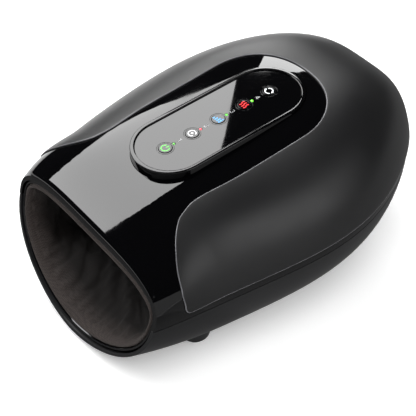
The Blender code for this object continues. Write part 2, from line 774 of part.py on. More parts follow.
for k, name in enumerate(button_names):
    y = k * button_pitch
    button_top = panel_top + button_stand
    cap = [disc(button_radius, panel_low - gap - button_flange / 2, button_top)]
    rim = disc(button_radius + 3 * gap, panel_low - gap - button_flange, panel_low - gap)
    stem = disc(button_radius / 3, switch_top + button_travel + gap, panel_low, steps=small_steps)
    made = solid(name, cap[0], gloss_black, pod, (0, y, 0))
    boolean(made, solid(name + "_rim", rim, None, pod, (0, y, 0)), "UNION")
    boolean(made, solid(name + "_stem", stem, None, pod, (0, y, 0)), "UNION")
    half = switch_side / 2
    solid("key_switch_%d" % (k + 1), box((-half, half), (-half, half), (board_top + gap, switch_top)),
          nylon, pod, (0, y, 0))
for k, y in enumerate(lens_ys):
    solid("indicator_lens_%d" % (k + 1), disc(lens_radius, board_top + gap, panel_top, steps=small_steps), clear, pod,
          (0, y, 0))
head_top = board_top - board_thickness - gap
for k, p in enumerate(posts):
    head = disc(board_screw_head, head_top - board_screw_head, head_top, steps=small_steps)
    shaft = disc(board_screw_radius, head_top - board_screw_head / 2, head_top + board_screw_length, steps=small_steps)
    made = solid("board_screw_%d" % (k + 1), head, steel, pod, (*p, 0))
    boolean(made, solid("board_screw_shaft_%d" % (k + 1), shaft, None, pod, (*p, 0)), "UNION")

# Air pump on the right of the tunnel: motor, eccentric, head and rubber cradle.
pump_end = pump_start + motor_length + gap + pump_length
side_y = (pump_start + pump_end) / 2
side_room = hull_size(pump_start, True, -wall)[0] - tunnel_half
side_radius = side_share * side_room
side_x = tunnel_half + side_room * 0.52
side_z = seam_z(side_y)
motor_end = pump_start + motor_length
motor = solid("pump_motor", lying(side_radius, pump_start, motor_end, side_x, side_z), steel, root)
shaft_hole = lying(shaft_radius + gap, motor_end - motor_length / 3, motor_end + gap, side_x, side_z, 12)
boolean(motor, solid("motor_hole", shaft_hole, None, root))
throat = side_radius * 0.8
head_start = motor_end + gap
crank_start = head_start + motor_nose
crank = solid("pump_eccentric", lying(shaft_radius, motor_end - motor_length / 3 + gap, crank_start + gap, steps=small_steps),
              steel, root, (side_x, 0, side_z))
lobe = lying(throat - eccentric_throw * 2, crank_start, crank_start + eccentric_width, 0, eccentric_throw, 16)
boolean(crank, solid("pump_lobe", lobe, None, root, (side_x, 0, side_z)), "UNION")
head_x = (side_x - side_radius, side_x + side_radius)
head_z = (side_z - side_radius, side_z + side_radius)
pump = solid("pump_head", box(head_x, (head_start, pump_end), head_z), nylon, root)
bore = lying(throat, head_start - gap, crank_start + eccentric_width + motor_nose, side_x, side_z)
boolean(pump, solid("pump_bore", bore, None, root))
saddle = box((tunnel_half + gap, side_x), (pump_start + strap_width / 2, motor_end - strap_width / 2),
             (side_z - side_radius / 2, side_z + side_radius / 2))
cradle = solid("pump_cradle", saddle, rubber, root)
straps = merge(*[lying(side_radius + gap + strap_thickness, y, y + strap_width, side_x, side_z)
                 for y in (pump_start + strap_width, motor_end - 2 * strap_width)])
boolean(cradle, solid("pump_straps", straps, None, root), "UNION")
nest = lying(side_radius + gap, pump_start - strap_width, pump_end, side_x, side_z)
boolean(cradle, solid("pump_nest", nest, None, root))

# Valves and manifold on the left of the tunnel.
valve_ys = [side_y + (k - 1) * valve_spacing for k in range(3)]
valve_top = side_z + valve_height / 3
manifold_low = valve_top + gap
manifold_high = manifold_low + manifold_height
manifold_y = (valve_ys[0] - valve_width / 2, valve_ys[2] + valve_width / 2)
valve_out = min(hull_x(y, z, -wall) for y in manifold_y for z in (valve_top - valve_height, manifold_high))
valve_out -= side_clearance
for k, y in enumerate(valve_ys):
    made = solid("air_valve_%d" % (k + 1),
                 box((-valve_out, -tunnel_half - gap), (y - valve_width / 2, y + valve_width / 2),
                     (valve_top - valve_height, valve_top)), steel, root)
    bevel(made, motor_nose / 2, 1)
bevel(solid("air_manifold", box((-valve_out, -tunnel_half - gap), manifold_y, (manifold_low, manifold_high)),
            nylon, root), motor_nose / 2, 1)


def tube(name, points, look):
    """Round tube along a path, with filled ends and rounded bends."""
    path = []
    for k, here in enumerate(points):
        here = np.array(here, float)
        if k in (0, len(points) - 1):
            path.append(tuple(here))
            continue
        before, after = np.array(points[k - 1], float), np.array(points[k + 1], float)
        cut = min(2.5 * tube_radius, np.linalg.norm(before - here) / 2.2, np.linalg.norm(after - here) / 2.2)
        a = here + (before - here) / np.linalg.norm(before - here) * cut
        b = here + (after - here) / np.linalg.norm(after - here) * cut
        for t in (0, 0.5, 1):
            path.append(tuple(a * (1 - t) ** 2 + here * 2 * t * (1 - t) + b * t * t))
    curve = bpy.data.curves.new(name, "CURVE")
    curve.dimensions = "3D"
    curve.bevel_depth = tube_radius
    curve.bevel_resolution = 2
    curve.use_fill_caps = True
    line = curve.splines.new("POLY")
    line.points.add(len(path) - 1)
    for point, place in zip(line.points, path):
        point.co = (*place, 1)
    made = bpy.data.objects.new(name + "_path", curve)
    bpy.context.scene.collection.objects.link(made)
    bpy.context.view_layer.update()
    mesh = bpy.data.meshes.new_from_object(made.evaluated_get(bpy.context.evaluated_depsgraph_get()))
    bm = bmesh.new()
    bm.from_mesh(mesh)
    bmesh.ops.remove_doubles(bm, verts=bm.verts, dist=tube_radius / 100)
    bpy.data.objects.remove(made, do_unlink=True)
    bpy.data.meshes.remove(mesh)
    return solid(name, bm, look, root)


over = tunnel_high + tube_radius + 2 * gap
manifold_x = -(tunnel_half + valve_out) / 2
hand_port, supply_port, finger_port = [manifold_y[0] + (manifold_y[1] - manifold_y[0]) * s for s in port_shares]
outlet_y = head_start + pump_length * outlet_share
tube("supply_tube", [(side_x, outlet_y, head_z[1] + gap), (side_x, outlet_y, over),
                     (side_x - 2 * side_radius, supply_port, over), (manifold_x, supply_port, over),
                     (manifold_x, supply_port, manifold_high + gap)], rubber)
drops = [("hand", hand_port, -pad_half_width / 2), ("finger", finger_port, -pad_half_width / 2)]
for label, port, x in drops:
    tube(label + "_tube", [(manifold_x, port, manifold_high + gap), (manifold_x, port, over), (x, port, over),
                           (x, port, roof + gap)], rubber)
ports = merge(*[disc(tube_radius + gap, roof, tunnel_high + tube_radius, (x, port), 12) for _, port, x in drops])
boolean(frame, solid("roof_ports", ports, None, root))
palm_port = manifold_y[1] + 4 * tube_radius
palm_z = (floor + palm_cell_high) / 2
manifold_mid = (manifold_low + manifold_high) / 2
tube("palm_tube", [(manifold_x, manifold_y[1] + gap, manifold_mid), (manifold_x, palm_port, manifold_mid),
                   (manifold_x, palm_port, palm_z), (-pad_half_width - gap, palm_port, palm_z)], rubber)
boolean(tray, solid("tray_port", cross_cylinder(tube_radius + gap, -half_width, -pad_half_width, palm_port, palm_z,
                                                12), None, root))

# Battery behind the tunnel and charging socket in the rear of the lower housing.
cell_half = cell_length / 2
cell_z = tunnel_mid + cell_radius
cell_ys = [tunnel_end + gap + holder_wall + gap + cell_radius + k * (2 * cell_radius + gap) for k in range(2)]


for k, y in enumerate(cell_ys):
    solid("battery_cell_%d" % (k + 1), cross_cylinder(cell_radius, -cell_half, cell_half, y, cell_z), battery_wrap,
          root)
holder_low = cell_z - cell_radius - gap - holder_wall
holder_out = cell_half + gap + holder_wall
holder_y = (tunnel_end + gap, cell_ys[1] + cell_radius / 2)
holder = solid("battery_holder", box((-holder_out, holder_out), holder_y, (holder_low, cell_z)), nylon, root)
room = merge(box((-cell_half - gap, cell_half + gap), (holder_y[0] + holder_wall, holder_y[1] + holder_wall),
                 (cell_z - cell_radius - gap, cell_z + cell_radius)))
boolean(holder, solid("battery_room", room, None, root))
socket_z = seam_rear - socket_drop


def rear_y(z):
    """Where the lower hull's rear line reaches height z."""
    low, high = body_length / 2, body_length
    for _ in range(50):
        mid = (low + high) / 2
        if hull_z(0, mid, False) < z:
            low = mid
        else:
            high = mid
    return low


socket_y = (rear_y(socket_z - socket_height / 2) - socket_depth, rear_y(socket_z - socket_height / 2) - gap)
socket_x = (-socket_width / 2, socket_width / 2)


def grown(pair, by):
    return pair[0] - by, pair[1] + by


socket_zz = (socket_z - socket_height / 2, socket_z + socket_height / 2)
socket = solid("charging_socket", box(socket_x, socket_y, socket_zz), steel, root)
mouth = box(grown(socket_x, -socket_wall), (socket_y[0] + socket_depth / 3, socket_y[1] + gap),
            grown(socket_zz, -socket_wall))
boolean(socket, solid("socket_mouth", mouth, None, root))
opening = box(grown(socket_x, gap), (socket_y[0] - wall, body_length + wall), grown(socket_zz, gap))
boolean(lower_housing, solid("socket_opening", opening, None, root))

# The root lifts the body onto its feet and centres it on the origin.
bpy.context.view_layer.update()
reach = [(made.matrix_world @ vertex.co).y for made in parts.objects if made.type == "MESH"
         for vertex in made.data.vertices]
root.location = (0, -(min(reach) + max(reach)) / 2, foot_drop)
bpy.context.view_layer.update()
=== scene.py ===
# %% [markdown]
# # Dressing a hand massager
#
# A hand massager of this kind is a rounded plastic body with a padded mouth for the hand. Air
# cells inside press on the hand, and a raised pod on top carries the buttons. The solid model
# already exists and moves as it should. This lesson gives it its looks: finer skins over the
# solids, the plastics and fabrics that the real one is made of, and a plain studio around it.
# %% Load the frame
import math

import bmesh
import bpy
import numpy as np
from mathutils import Matrix, Vector


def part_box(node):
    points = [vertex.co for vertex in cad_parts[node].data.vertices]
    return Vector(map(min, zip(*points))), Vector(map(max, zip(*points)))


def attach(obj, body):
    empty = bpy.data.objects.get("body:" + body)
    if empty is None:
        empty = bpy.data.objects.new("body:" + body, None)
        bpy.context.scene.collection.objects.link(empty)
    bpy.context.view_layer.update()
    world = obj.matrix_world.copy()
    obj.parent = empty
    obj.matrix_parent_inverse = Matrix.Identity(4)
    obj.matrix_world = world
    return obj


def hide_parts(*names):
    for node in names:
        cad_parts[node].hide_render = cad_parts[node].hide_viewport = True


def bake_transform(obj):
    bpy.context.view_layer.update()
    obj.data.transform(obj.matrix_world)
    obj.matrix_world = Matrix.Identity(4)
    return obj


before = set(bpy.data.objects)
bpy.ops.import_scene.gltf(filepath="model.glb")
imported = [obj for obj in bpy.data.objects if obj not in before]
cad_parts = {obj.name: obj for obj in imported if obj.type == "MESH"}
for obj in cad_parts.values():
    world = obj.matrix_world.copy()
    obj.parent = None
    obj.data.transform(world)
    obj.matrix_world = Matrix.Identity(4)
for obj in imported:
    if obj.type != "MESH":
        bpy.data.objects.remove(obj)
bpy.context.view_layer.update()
mm = 0.001


# Shapes are measured from the mouth and the underside; the frame stands on its feet at the origin.
front_foot_y, foot_drop = 68.0 * mm, 3.0 * mm
foot_low, foot_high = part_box("foot_front_right")
shift = np.array([0, (foot_low.y + foot_high.y) / 2 - front_foot_y, foot_drop])

# %% [markdown]
# ## Camera
# The photograph looks down on the massager from the front right with a long lens. A camera can be
# aimed with a Track To constraint, but its roll is then fixed, so here the three directions of
# the camera are worked out from the azimuth and the elevation and put into its matrix.
# %% Camera
view_azimuth, view_elevation, view_roll = (math.radians(a) for a in (52.191, 44.09, -0.041))
view_distance = 700 * mm
aim = Vector((14.615, 106.717, 55.587)) * mm + Vector(shift.tolist())

back = Vector((math.sin(view_azimuth) * math.cos(view_elevation),
               -math.cos(view_azimuth) * math.cos(view_elevation), math.sin(view_elevation)))
right = Vector((math.cos(view_azimuth), math.sin(view_azimuth), 0))
above = back.cross(right)
turned_right = right * math.cos(view_roll) + above * math.sin(view_roll)
turned_above = above * math.cos(view_roll) - right * math.sin(view_roll)

camera = bpy.data.objects.new("camera", bpy.data.cameras.new("camera"))
camera.data.sensor_width = 36
camera.data.lens = 97.467
camera.data.clip_end = 50
camera.matrix_world = Matrix.Translation(aim + back * view_distance) @ Matrix(
    (turned_right, turned_above, back)).transposed().to_4x4()
bpy.context.scene.collection.objects.link(camera)
bpy.context.scene.camera = camera
bpy.context.scene.view_settings.view_transform = "Standard"
print("camera at", [round(v / mm) for v in camera.matrix_world.translation], "mm")

# %% [markdown]
# ## The body's shape as formulas
# The real housing is a moulding with a smooth, crowned skin. A skin like this could be sculpted
# or lofted through section curves. Here it is a formula: every cross-section is a superellipse,
# and its width, height and squareness change along the length. The solid model uses the same
# formula with few facets, so a fine skin made from it lies exactly where the solid is.
# %% Shape of the body
body_length = 259.6 * mm
half_width = 93.0 * mm
crest_height = 60.0 * mm
seam_front, seam_rear = 50.4 * mm, 68.0 * mm
flat_base = 80.6 * mm
mouth_setback, mouth_lean = 7.9 * mm, 0.29
width_shares = (0.674, 1.014, 0.632, 1.531, 0.704, 1.069)
crest_shares = (-0.489, 1.807, 0.082, 1.032, 0.904, 1.231)
width_power, crest_power, base_power = 5.33, 4.0, 1.74
upper_powers = ((4.06, 5.05), (3.84, 1.51))
lower_powers = ((1.80, 2.05), (2.75, 2.40))
section_change = 70.0 * mm
section_steps, mouth_rounds = 121, 24


def soft_step(u):
    u = np.clip(u, 0, 1)
    return u * u * (3 - 2 * u)


def blend_shares(shares, s):
    """Bernstein curve through a short table of shares."""
    n = len(shares) - 1
    return sum(math.comb(n, i) * s ** i * (1 - s) ** (n - i) * share for i, share in enumerate(shares))


def seam_height(y):
    return seam_front + (seam_rear - seam_front) * y / body_length


def section_sizes(y, top, out=0.0):
    """Half width, and height over or depth under the seam, of the section at y."""
    s = np.clip(y / (body_length + out), 0, 1)
    half = (half_width * blend_shares(width_shares, s) + out) * np.sqrt(1 - s ** width_power)
    over = (crest_height * blend_shares(crest_shares, s) + out) * np.sqrt(1 - s ** crest_power)
    t = np.clip(s * body_length - flat_base, 0, None) / (body_length - flat_base)
    under = (seam_height(s * body_length) + out) * np.sqrt(np.clip(1 - t ** base_power, 0, None))
    return half, np.where(top, over, under)


def section_powers(y, top):
    """Squareness of the section, across and up."""
    u = soft_step(y / section_change)
    return [np.where(top, upper_powers[0][k] + (upper_powers[1][k] - upper_powers[0][k]) * u,
                     lower_powers[0][k] + (lower_powers[1][k] - lower_powers[0][k]) * u) for k in (0, 1)]


def skin_points(y, share, top, out=0.0, gap=0.0):
    """Points of the skin at lengths y and at even shares of a quarter section, side to crest.

    A negative share is on the left. Returns an array whose last axis is x, y, z.
    """
    y, share = np.broadcast_arrays(np.asarray(y, float), np.asarray(share, float))
    half, tall = section_sizes(y, top, out)
    n, m = section_powers(y, top)
    turns = np.linspace(0, math.pi / 2, section_steps)
    x = half[..., None] * np.cos(turns).clip(0) ** (2 / n[..., None])
    z = tall[..., None] * np.sin(turns).clip(0) ** (2 / m[..., None])
    run = np.concatenate([np.zeros(x.shape[:-1] + (1,)), np.hypot(np.diff(x), np.diff(z)).cumsum(-1)], -1)
    goal = np.abs(share) * run[..., -1]
    k = np.clip((run < goal[..., None]).sum(-1), 1, len(turns) - 1)
    low = np.take_along_axis(run, k[..., None] - 1, -1)[..., 0]
    high = np.take_along_axis(run, k[..., None], -1)[..., 0]
    turn = turns[k - 1] + (goal - low) / np.maximum(high - low, 1e-12) * (turns[k] - turns[k - 1])
    x = half * np.cos(turn).clip(0) ** (2 / n) * np.where(share < 0, -1, 1)
    rise = gap + tall * np.sin(turn).clip(0) ** (2 / m)
    z = seam_height(np.minimum(y, body_length)) + np.where(top, rise, -rise)
    return np.stack([x, y, z], -1)


def mouth_length(share, top, out=0.0, depth=0.0):
    """Length y at which the skin meets the leaning mouth plane, or a plane depth behind it."""
    share = np.asarray(share, float)
    y = np.full(share.shape, mouth_setback + depth)
    for _ in range(mouth_rounds):
        y = mouth_setback + depth + mouth_lean * skin_points(y, share, top, out)[..., 2]
    return y


widest = 2 * section_sizes(np.linspace(0, body_length, 400), True)[0].max()
print("widest section:", round(float(widest / mm), 1), "mm")

# %% [markdown]
# A formula also says how far any point lies inside or outside the skin, and its slope gives the
# direction that the surface faces. These two let a later piece be laid on the skin.
# %% Inside or outside
slope_step = 0.02 * mm


def outside(p):
    """Below zero inside the body, above zero outside."""
    x, y, z = p[..., 0], p[..., 1], p[..., 2]
    top = z >= seam_height(y)
    half, tall = section_sizes(y, top)
    n, m = section_powers(y, top)
    value = (np.abs(x) / np.maximum(half, 1e-9)) ** n
    value = value + (np.abs(z - seam_height(y)) / np.maximum(tall, 1e-9)) ** m - 1
    return np.where((y < 0) | (y > body_length), 1.0, value)


def facing(p):
    """Unit vectors that stand on the skin at points p."""
    slope = np.stack([outside(p + slope_step * axis) - outside(p - slope_step * axis) for axis in np.eye(3)], -1)
    return slope / np.maximum(np.linalg.norm(slope, axis=-1, keepdims=True), 1e-12)


def skin_height(x, y, top=True):
    """Height of the skin over or under the point (x, y)."""
    half, tall = section_sizes(y, top)
    n, m = section_powers(y, top)
    rise = tall * np.clip(1 - np.clip(np.abs(x) / half, 0, 1) ** n, 0, None) ** (1 / m)
    return seam_height(y) + (rise if top else -rise)


print("crest at a third of the length:", round(float(skin_height(0, body_length / 3)) / mm, 1), "mm")

# %% [markdown]
# ## Small tools for meshes and materials
# Every skin here is a grid of points joined into faces, sometimes with modifiers on top. One
# function turns arrays into an object that rides on a body of the frame. One more adds a shader
# node with its settings and links, and one turns the sRGB hex colours that a paint chart gives
# into the linear values that Blender computes with.
# %% Mesh tools
square = ((-1, -1), (1, -1), (1, 1), (-1, 1))


def in_mm(pairs):
    return [(a * mm, b * mm) for a, b in pairs]


def place(name, mesh, look, body="base", sharp=35):
    """An object from a mesh, with its material, riding on a body."""
    mesh.materials.append(look)
    mesh.polygons.foreach_set("use_smooth", [True] * len(mesh.polygons))
    mesh.set_sharp_from_angle(angle=math.radians(sharp))
    piece = bpy.data.objects.new(name, mesh)
    bpy.context.scene.collection.objects.link(piece)
    if body:
        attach(piece, body)
    return piece


def dress(name, mesh, look, node, body="base", sharp=35):
    """A placed piece that stands for a node of the frame, and hides that node when one is given."""
    piece = place(name, mesh, look, body, sharp)
    if node:
        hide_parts(node)
    return piece


def mesh_of(name, points, faces, shifted=True):
    """A mesh with its faces turned outward. Points are measured from the mouth and underside."""
    points = np.asarray(points, float).reshape(-1, 3) + (shift if shifted else 0)
    mesh = bpy.data.meshes.new(name)
    mesh.from_pydata(points.tolist(), [], faces)
    bm = bmesh.new()
    bm.from_mesh(mesh)
    bmesh.ops.remove_doubles(bm, verts=bm.verts, dist=1e-7)
    bmesh.ops.recalc_face_normals(bm, faces=bm.faces)
    bm.to_mesh(mesh)
    bm.free()
    return mesh


def grid_faces(rows, columns, start=0, around=False, along=False):
    """Quads of a grid of points; around joins each row's ends, along joins the last row to the first."""
    faces = []
    for r in range(rows if along else rows - 1):
        for c in range(columns if around else columns - 1):
            r2, c2 = (r + 1) % rows, (c + 1) % columns
            quad = (r * columns + c, r * columns + c2, r2 * columns + c2, r2 * columns + c)
            faces.append([start + v for v in quad])
    return faces


def ring_mesh(name, loops, shifted=True, closed=True):
    """Mesh through closed loops of points. The last loop joins the first, or both ends are capped."""
    loops = np.asarray(loops, float)
    rows, count = loops.shape[:2]
    faces = grid_faces(rows, count, around=True, along=closed)
    if not closed:
        faces += [list(range(count)), list(range((rows - 1) * count, rows * count))]
    return mesh_of(name, loops, faces, shifted)


def solid_mesh(name, loops):
    """Capped mesh through loops of world points."""
    return ring_mesh(name, loops, shifted=False, closed=False)


def turned_loops(profile, centre, count=40):
    """Loops of a turned shape: pairs of radius and height about a centre."""
    turns = np.linspace(0, 2 * math.pi, count, endpoint=False)
    return np.stack([np.stack([centre[0] + r * np.cos(turns), centre[1] + r * np.sin(turns), np.full(count, z)], -1)
                     for r, z in profile])


def bake(piece):
    """Applies a piece's modifiers to its mesh."""
    bpy.context.view_layer.update()
    mesh = bpy.data.meshes.new_from_object(piece.evaluated_get(bpy.context.evaluated_depsgraph_get()))
    piece.modifiers.clear()
    piece.data = mesh
    return piece


def combine(piece, operation, mesh):
    """Joins the shape of a mesh to a piece (UNION) or cuts it out (DIFFERENCE)."""
    other = bpy.data.objects.new("other", mesh)
    bpy.context.scene.collection.objects.link(other)
    step = piece.modifiers.new("combine", "BOOLEAN")
    step.operation, step.solver, step.object = operation, "EXACT", other
    bake(piece)
    bpy.data.objects.remove(other, do_unlink=True)
    return piece


def soften(piece, width):
    """Rounds a piece's sharp edges."""
    step = piece.modifiers.new("rounding", "BEVEL")
    step.width, step.segments, step.limit_method, step.angle_limit = width, 3, "ANGLE", math.radians(35)
    return bake(piece)


# %% Material tools
def linear(code):
    """Linear colour from an sRGB hex code."""
    parts = [int(code[k:k + 2], 16) / 255 for k in (1, 3, 5)]
    return tuple(c / 12.92 if c <= 0.04045 else ((c + 0.055) / 1.055) ** 2.4 for c in parts) + (1,)


def add(tree, kind, links=None, **settings):
    """A node with its settings, and with each named input set to a value or linked to a socket."""
    node = tree.nodes.new(kind)
    for name, value in settings.items():
        setattr(node, name, value)
    for name, source in (links or {}).items():
        if isinstance(source, bpy.types.NodeSocket):
            tree.links.new(source, node.inputs[name])
        else:
            node.inputs[name].default_value = source
    return node


def own_place(tree):
    """A point's place in its piece's own coordinates."""
    return add(tree, "ShaderNodeTexCoord").outputs["Object"]


def noise(tree, scale, detail, **more):
    """Soft noise, with scale in waves per metre."""
    links = {"Vector": own_place(tree), "Scale": scale, "Detail": detail, **more}
    return add(tree, "ShaderNodeTexNoise", links).outputs["Fac"]


def cells(tree, scale, **more):
    """Height of small cells side by side, with scale in cells per metre."""
    return add(tree, "ShaderNodeTexVoronoi", {"Vector": own_place(tree), "Scale": scale, **more}).outputs["Distance"]


def spread(tree, value, low, high, start=0.0, stop=1.0):
    """A pattern's range from start to stop, spread from low to high."""
    return add(tree, "ShaderNodeMapRange", {"Value": value, "From Min": start, "From Max": stop, "To Min": low,
                                            "To Max": high}).outputs["Result"]


def tinted(tree, factor, *ends):
    """Colour between two ends, each a hex code or a socket."""
    first, second = (linear(end) if isinstance(end, str) else end for end in ends)
    mix = add(tree, "ShaderNodeMix", {"Factor": factor, "A": first, "B": second}, data_type="RGBA")
    return mix.outputs["Result"]


def bumped(tree, height, strength, distance, **settings):
    links = {"Height": height, "Strength": strength, "Distance": distance}
    return add(tree, "ShaderNodeBump", links, **settings).outputs["Normal"]


def finish(name, code, roughness, **values):
    """A new material, and its node tree, with fixed values on its Principled shader."""
    look = bpy.data.materials.new(name)
    look.use_nodes = True
    for key, value in dict(base_color=linear(code), roughness=roughness, **values).items():
        socket = key.replace("_", " ").title().replace("Ior", "IOR")
        look.node_tree.nodes["Principled BSDF"].inputs[socket].default_value = value
    return look, look.node_tree


def drive(tree, **sources):
    """Links patterns to inputs of a material's Principled shader."""
    for key, source in sources.items():
        tree.links.new(source, tree.nodes["Principled BSDF"].inputs[key.replace("_", " ").title()])


print("tools ready")

# %% [markdown]
# ## Plastics of the shell
# The top of the shell is piano-black ABS: moulded in a polished tool, so it mirrors the lamps in
# sharp shapes. The cover over it has a soft-touch coat, a thin rubbery paint that scatters the
# light into one broad dull band. The base is plain ABS from a spark-eroded tool, whose fine
# grain gives a satin look. Each is a Principled shader, with noise that is as fine as the real
# surface for its bump and a slower noise for handling marks.
# %% Piano-black ABS
gloss_abs, tree = finish("piano_black_moulded_abs", "#030304", 0.02, ior=1.53)
# Very shallow waves of the polished tool, about 40 mm long: reflections stay sharp but not dead straight.
waves = noise(tree, 25.0, 0.0)
# Fingerprints and cleaning haze, a few centimetres across, lift the roughness a little.
haze = noise(tree, 32.0, 5.0, Roughness=0.6)
drive(tree, roughness=spread(tree, haze, 0.012, 0.032, 0.35, 0.75), normal=bumped(tree, waves, 0.01, 0.2 * mm))
print("made", gloss_abs.name)

# %% Soft-touch coat
soft_coat, tree = finish("soft_touch_coated_abs", "#121213", 0.46, ior=1.48, specular_ior_level=0.6)
# The coat's own grain is about 0.1 mm, too fine for the picture, so it is drawn at 0.6 mm.
grain = noise(tree, 1600.0, 2.0)
# Handling marks, some centimetres across, change its shade and its dullness.
marks = noise(tree, 24.0, 4.0)
drive(tree, base_color=tinted(tree, marks, "#121213", "#171718"), roughness=spread(tree, marks, 0.38, 0.45, 0.3, 0.7),
      normal=bumped(tree, grain, 0.12, 0.05 * mm))
print("made", soft_coat.name)

# %% Rubbed edge of the coat, with a painted highlight
# Handling polishes the coat along its edges, so they catch a thin line of light. Their colour is also
# painted much lighter than the coat, a painted highlight along the edge.
highlight_edge_coat, tree = finish("soft_touch_coat_painted_highlight_edge", "#5C5C5F", 0.2, ior=1.48)
# The rubbing and the painted highlight come and go together over about 8 mm.
rub_and_highlight = noise(tree, 120.0, 3.0)
drive(tree, base_color=tinted(tree, rub_and_highlight, "#3A3A3C", "#7C7C80"), roughness=spread(tree, rub_and_highlight, 0.13, 0.27, 0.3, 0.7))
print("made", highlight_edge_coat.name)

# %% Spark-eroded ABS
satin_abs, tree = finish("spark_eroded_abs", "#19191A", 0.42, ior=1.52, specular_ior_level=0.38)
# Spark-erosion grain is 0.1 to 0.3 mm; it is drawn at 0.7 mm so that it shows.
grain = cells(tree, 1400.0)
# The moulding's shade drifts over about 5 cm.
patches = noise(tree, 18.0, 3.0)
drive(tree, base_color=tinted(tree, patches, "#161617", "#1C1C1E"), normal=bumped(tree, grain, 0.2, 0.04 * mm))
print("made", satin_abs.name)

# %% [markdown]
# ## Upper and lower housing
# The two shells are injection moulded with 2.4 mm walls and meet at a seam that rises to the
# rear. Each is an outer and an inner grid of the same formula, joined along the mouth and the
# seam. Their edges are rounded a little, as on any moulding: a rounded edge catches a thin line
# of light, which a sharp one never does.
# %% Shells
wall, seam_gap, edge_rounding = 2.4 * mm, 0.6 * mm, 0.45 * mm
column_steps, row_steps = 96, 84


def both_sides(steps):
    """Even shares of a whole upper or lower section, from right to left."""
    share = np.linspace(0, 2, steps + 1)
    share = np.where(share <= 1, share, -(2 - share))
    share[-1] = -1e-9
    return share


def row_shares(count):
    """Row positions from the mouth to the rear, closer together at both ends."""
    u = np.arange(count) / count
    return 0.25 * (1 - np.cos(math.pi * u)) + 0.5 * np.sin(math.pi * u / 2)


def skin_grid(top, out, gap):
    """Rows of skin points from the mouth back, and the point where they close at the rear."""
    share = both_sides(column_steps)
    first = mouth_length(share, top, out)
    end = body_length + out
    y = first + (end - first) * row_shares(row_steps)[:, None]
    tip = np.array([0, end, seam_height(body_length) + (gap if top else -gap)])
    return skin_points(y, share[None, :], top, out, gap), tip


def shell_mesh(name, top):
    """Closed shell between the outer skin and the inner one."""
    points, faces, rims = [], [], []
    count = column_steps + 1
    for out in (0.0, -wall):
        rows, tip = skin_grid(top, out, seam_gap / 2)
        start, tip_at = len(points), len(points) + row_steps * count
        points.extend(rows.reshape(-1, 3).tolist() + [tip.tolist()])
        last = tip_at - count
        faces += grid_faces(row_steps, count, start)
        faces += [[last + c, last + c + 1, tip_at] for c in range(column_steps)]
        rims.append([[start + c for c in range(count)], [start + r * count for r in range(row_steps)] + [tip_at],
                     [start + r * count + column_steps for r in range(row_steps)] + [tip_at]])
    for outer, inner in zip(*rims):
        faces += [[outer[k], outer[k + 1], inner[k + 1], inner[k]] for k in range(len(outer) - 1)]
    return mesh_of(name, points, faces)


upper_shell = place("upper_shell", shell_mesh("upper_shell", True), gloss_abs)
lower_shell = place("lower_shell", shell_mesh("lower_shell", False), satin_abs)
for shell in (upper_shell, lower_shell):
    soften(shell, edge_rounding)
    print(shell.name, len(shell.data.polygons), "faces")

# %% [markdown]
# ## Where the pod goes
# The pod lies along the crest. Its frame starts at the first button and leans back a little, so
# everything on it is modelled flat and then put in place with one matrix.
# %% Pod frame
first_button, button_pitch = 86.2 * mm, 19.94 * mm
pod_half_width, pod_depth, pod_gap = 25.0 * mm, 14.0 * mm, 0.3 * mm
pod_start, pod_stop = 4.6 * mm, 4 * button_pitch - 3.0 * mm
front_over_crest, rear_over_crest = 4.3 * mm, 1.6 * mm
pod_height = float(skin_height(0, first_button)) + front_over_crest
pod_rear = float(skin_height(0, first_button + 4 * button_pitch)) + rear_over_crest
pod_lean = math.atan((pod_rear - pod_height) / (4 * button_pitch))
pod_frame = Matrix.Translation(Vector((0, first_button, pod_height)) + Vector(shift.tolist())) @ Matrix.Rotation(
    pod_lean, 4, "X")


def slot_loop(inset, height, count=40):
    """Outline of the pod's slot shape, moved in by inset, at a height over the rim."""
    turns = np.concatenate([np.linspace(0, math.pi, count), np.linspace(math.pi, 2 * math.pi, count)])
    centre = np.repeat([pod_stop, pod_start], count)
    radius = pod_half_width - inset
    return np.stack([radius * np.cos(turns), centre + radius * np.sin(turns), np.full(2 * count, height)], -1)


def on_pod(points):
    """World points from points in the pod's frame."""
    turn = np.array(pod_frame)
    return np.asarray(points, float) @ turn[:3, :3].T + turn[:3, 3]


def slot_loops(profile):
    """World loops of the slot shape from pairs of inset and height."""
    return on_pod([slot_loop(inset, height) for inset, height in profile])


opening = solid_mesh("opening", slot_loops([(-pod_gap, -2 * pod_depth), (-pod_gap, pod_depth)]))
combine(upper_shell, "DIFFERENCE", opening)
print("pod leans", round(math.degrees(pod_lean), 2), "degrees")

# %% Foot bosses, screw wells and socket opening in the lower shell
feet = {label: (x * mm, y * mm) for label, x, y in (("front_right", 51, 68), ("front_left", -51, 68),
                                                    ("rear_right", 46, 168), ("rear_left", -46, 168))}
# The boss widens from the foot to the skin: pairs of radius, and share of the way up to the skin.
boss_flare = ((8.9 * mm, 0.0), (9.4 * mm, 0.03), (10.2 * mm, 0.4), (11.4 * mm, 0.8), (12.9 * mm, 1.0))
seat_radius, seat_depth = 7.8 * mm, 1 * mm
screw_head_room = 2.5 * mm + 0.3 * mm
post_radius, well_radius, post_over_seat = 5.2 * mm, 3.5 * mm, 4 * mm
socket_gap, socket_front_room, socket_rear_room = 0.3 * mm, 4 * mm, 6 * mm


def circle(radius, centre, count):
    """Points of a circle, on the plan."""
    turn = np.linspace(0, 2 * math.pi, count, endpoint=False)
    return np.stack([centre[0] + radius * np.cos(turn), centre[1] + radius * np.sin(turn)], -1)


def in_floor(ring):
    """Heights in the middle of the lower shell's wall, over a ring."""
    return skin_height(ring[:, 0], ring[:, 1], False) + wall / 2


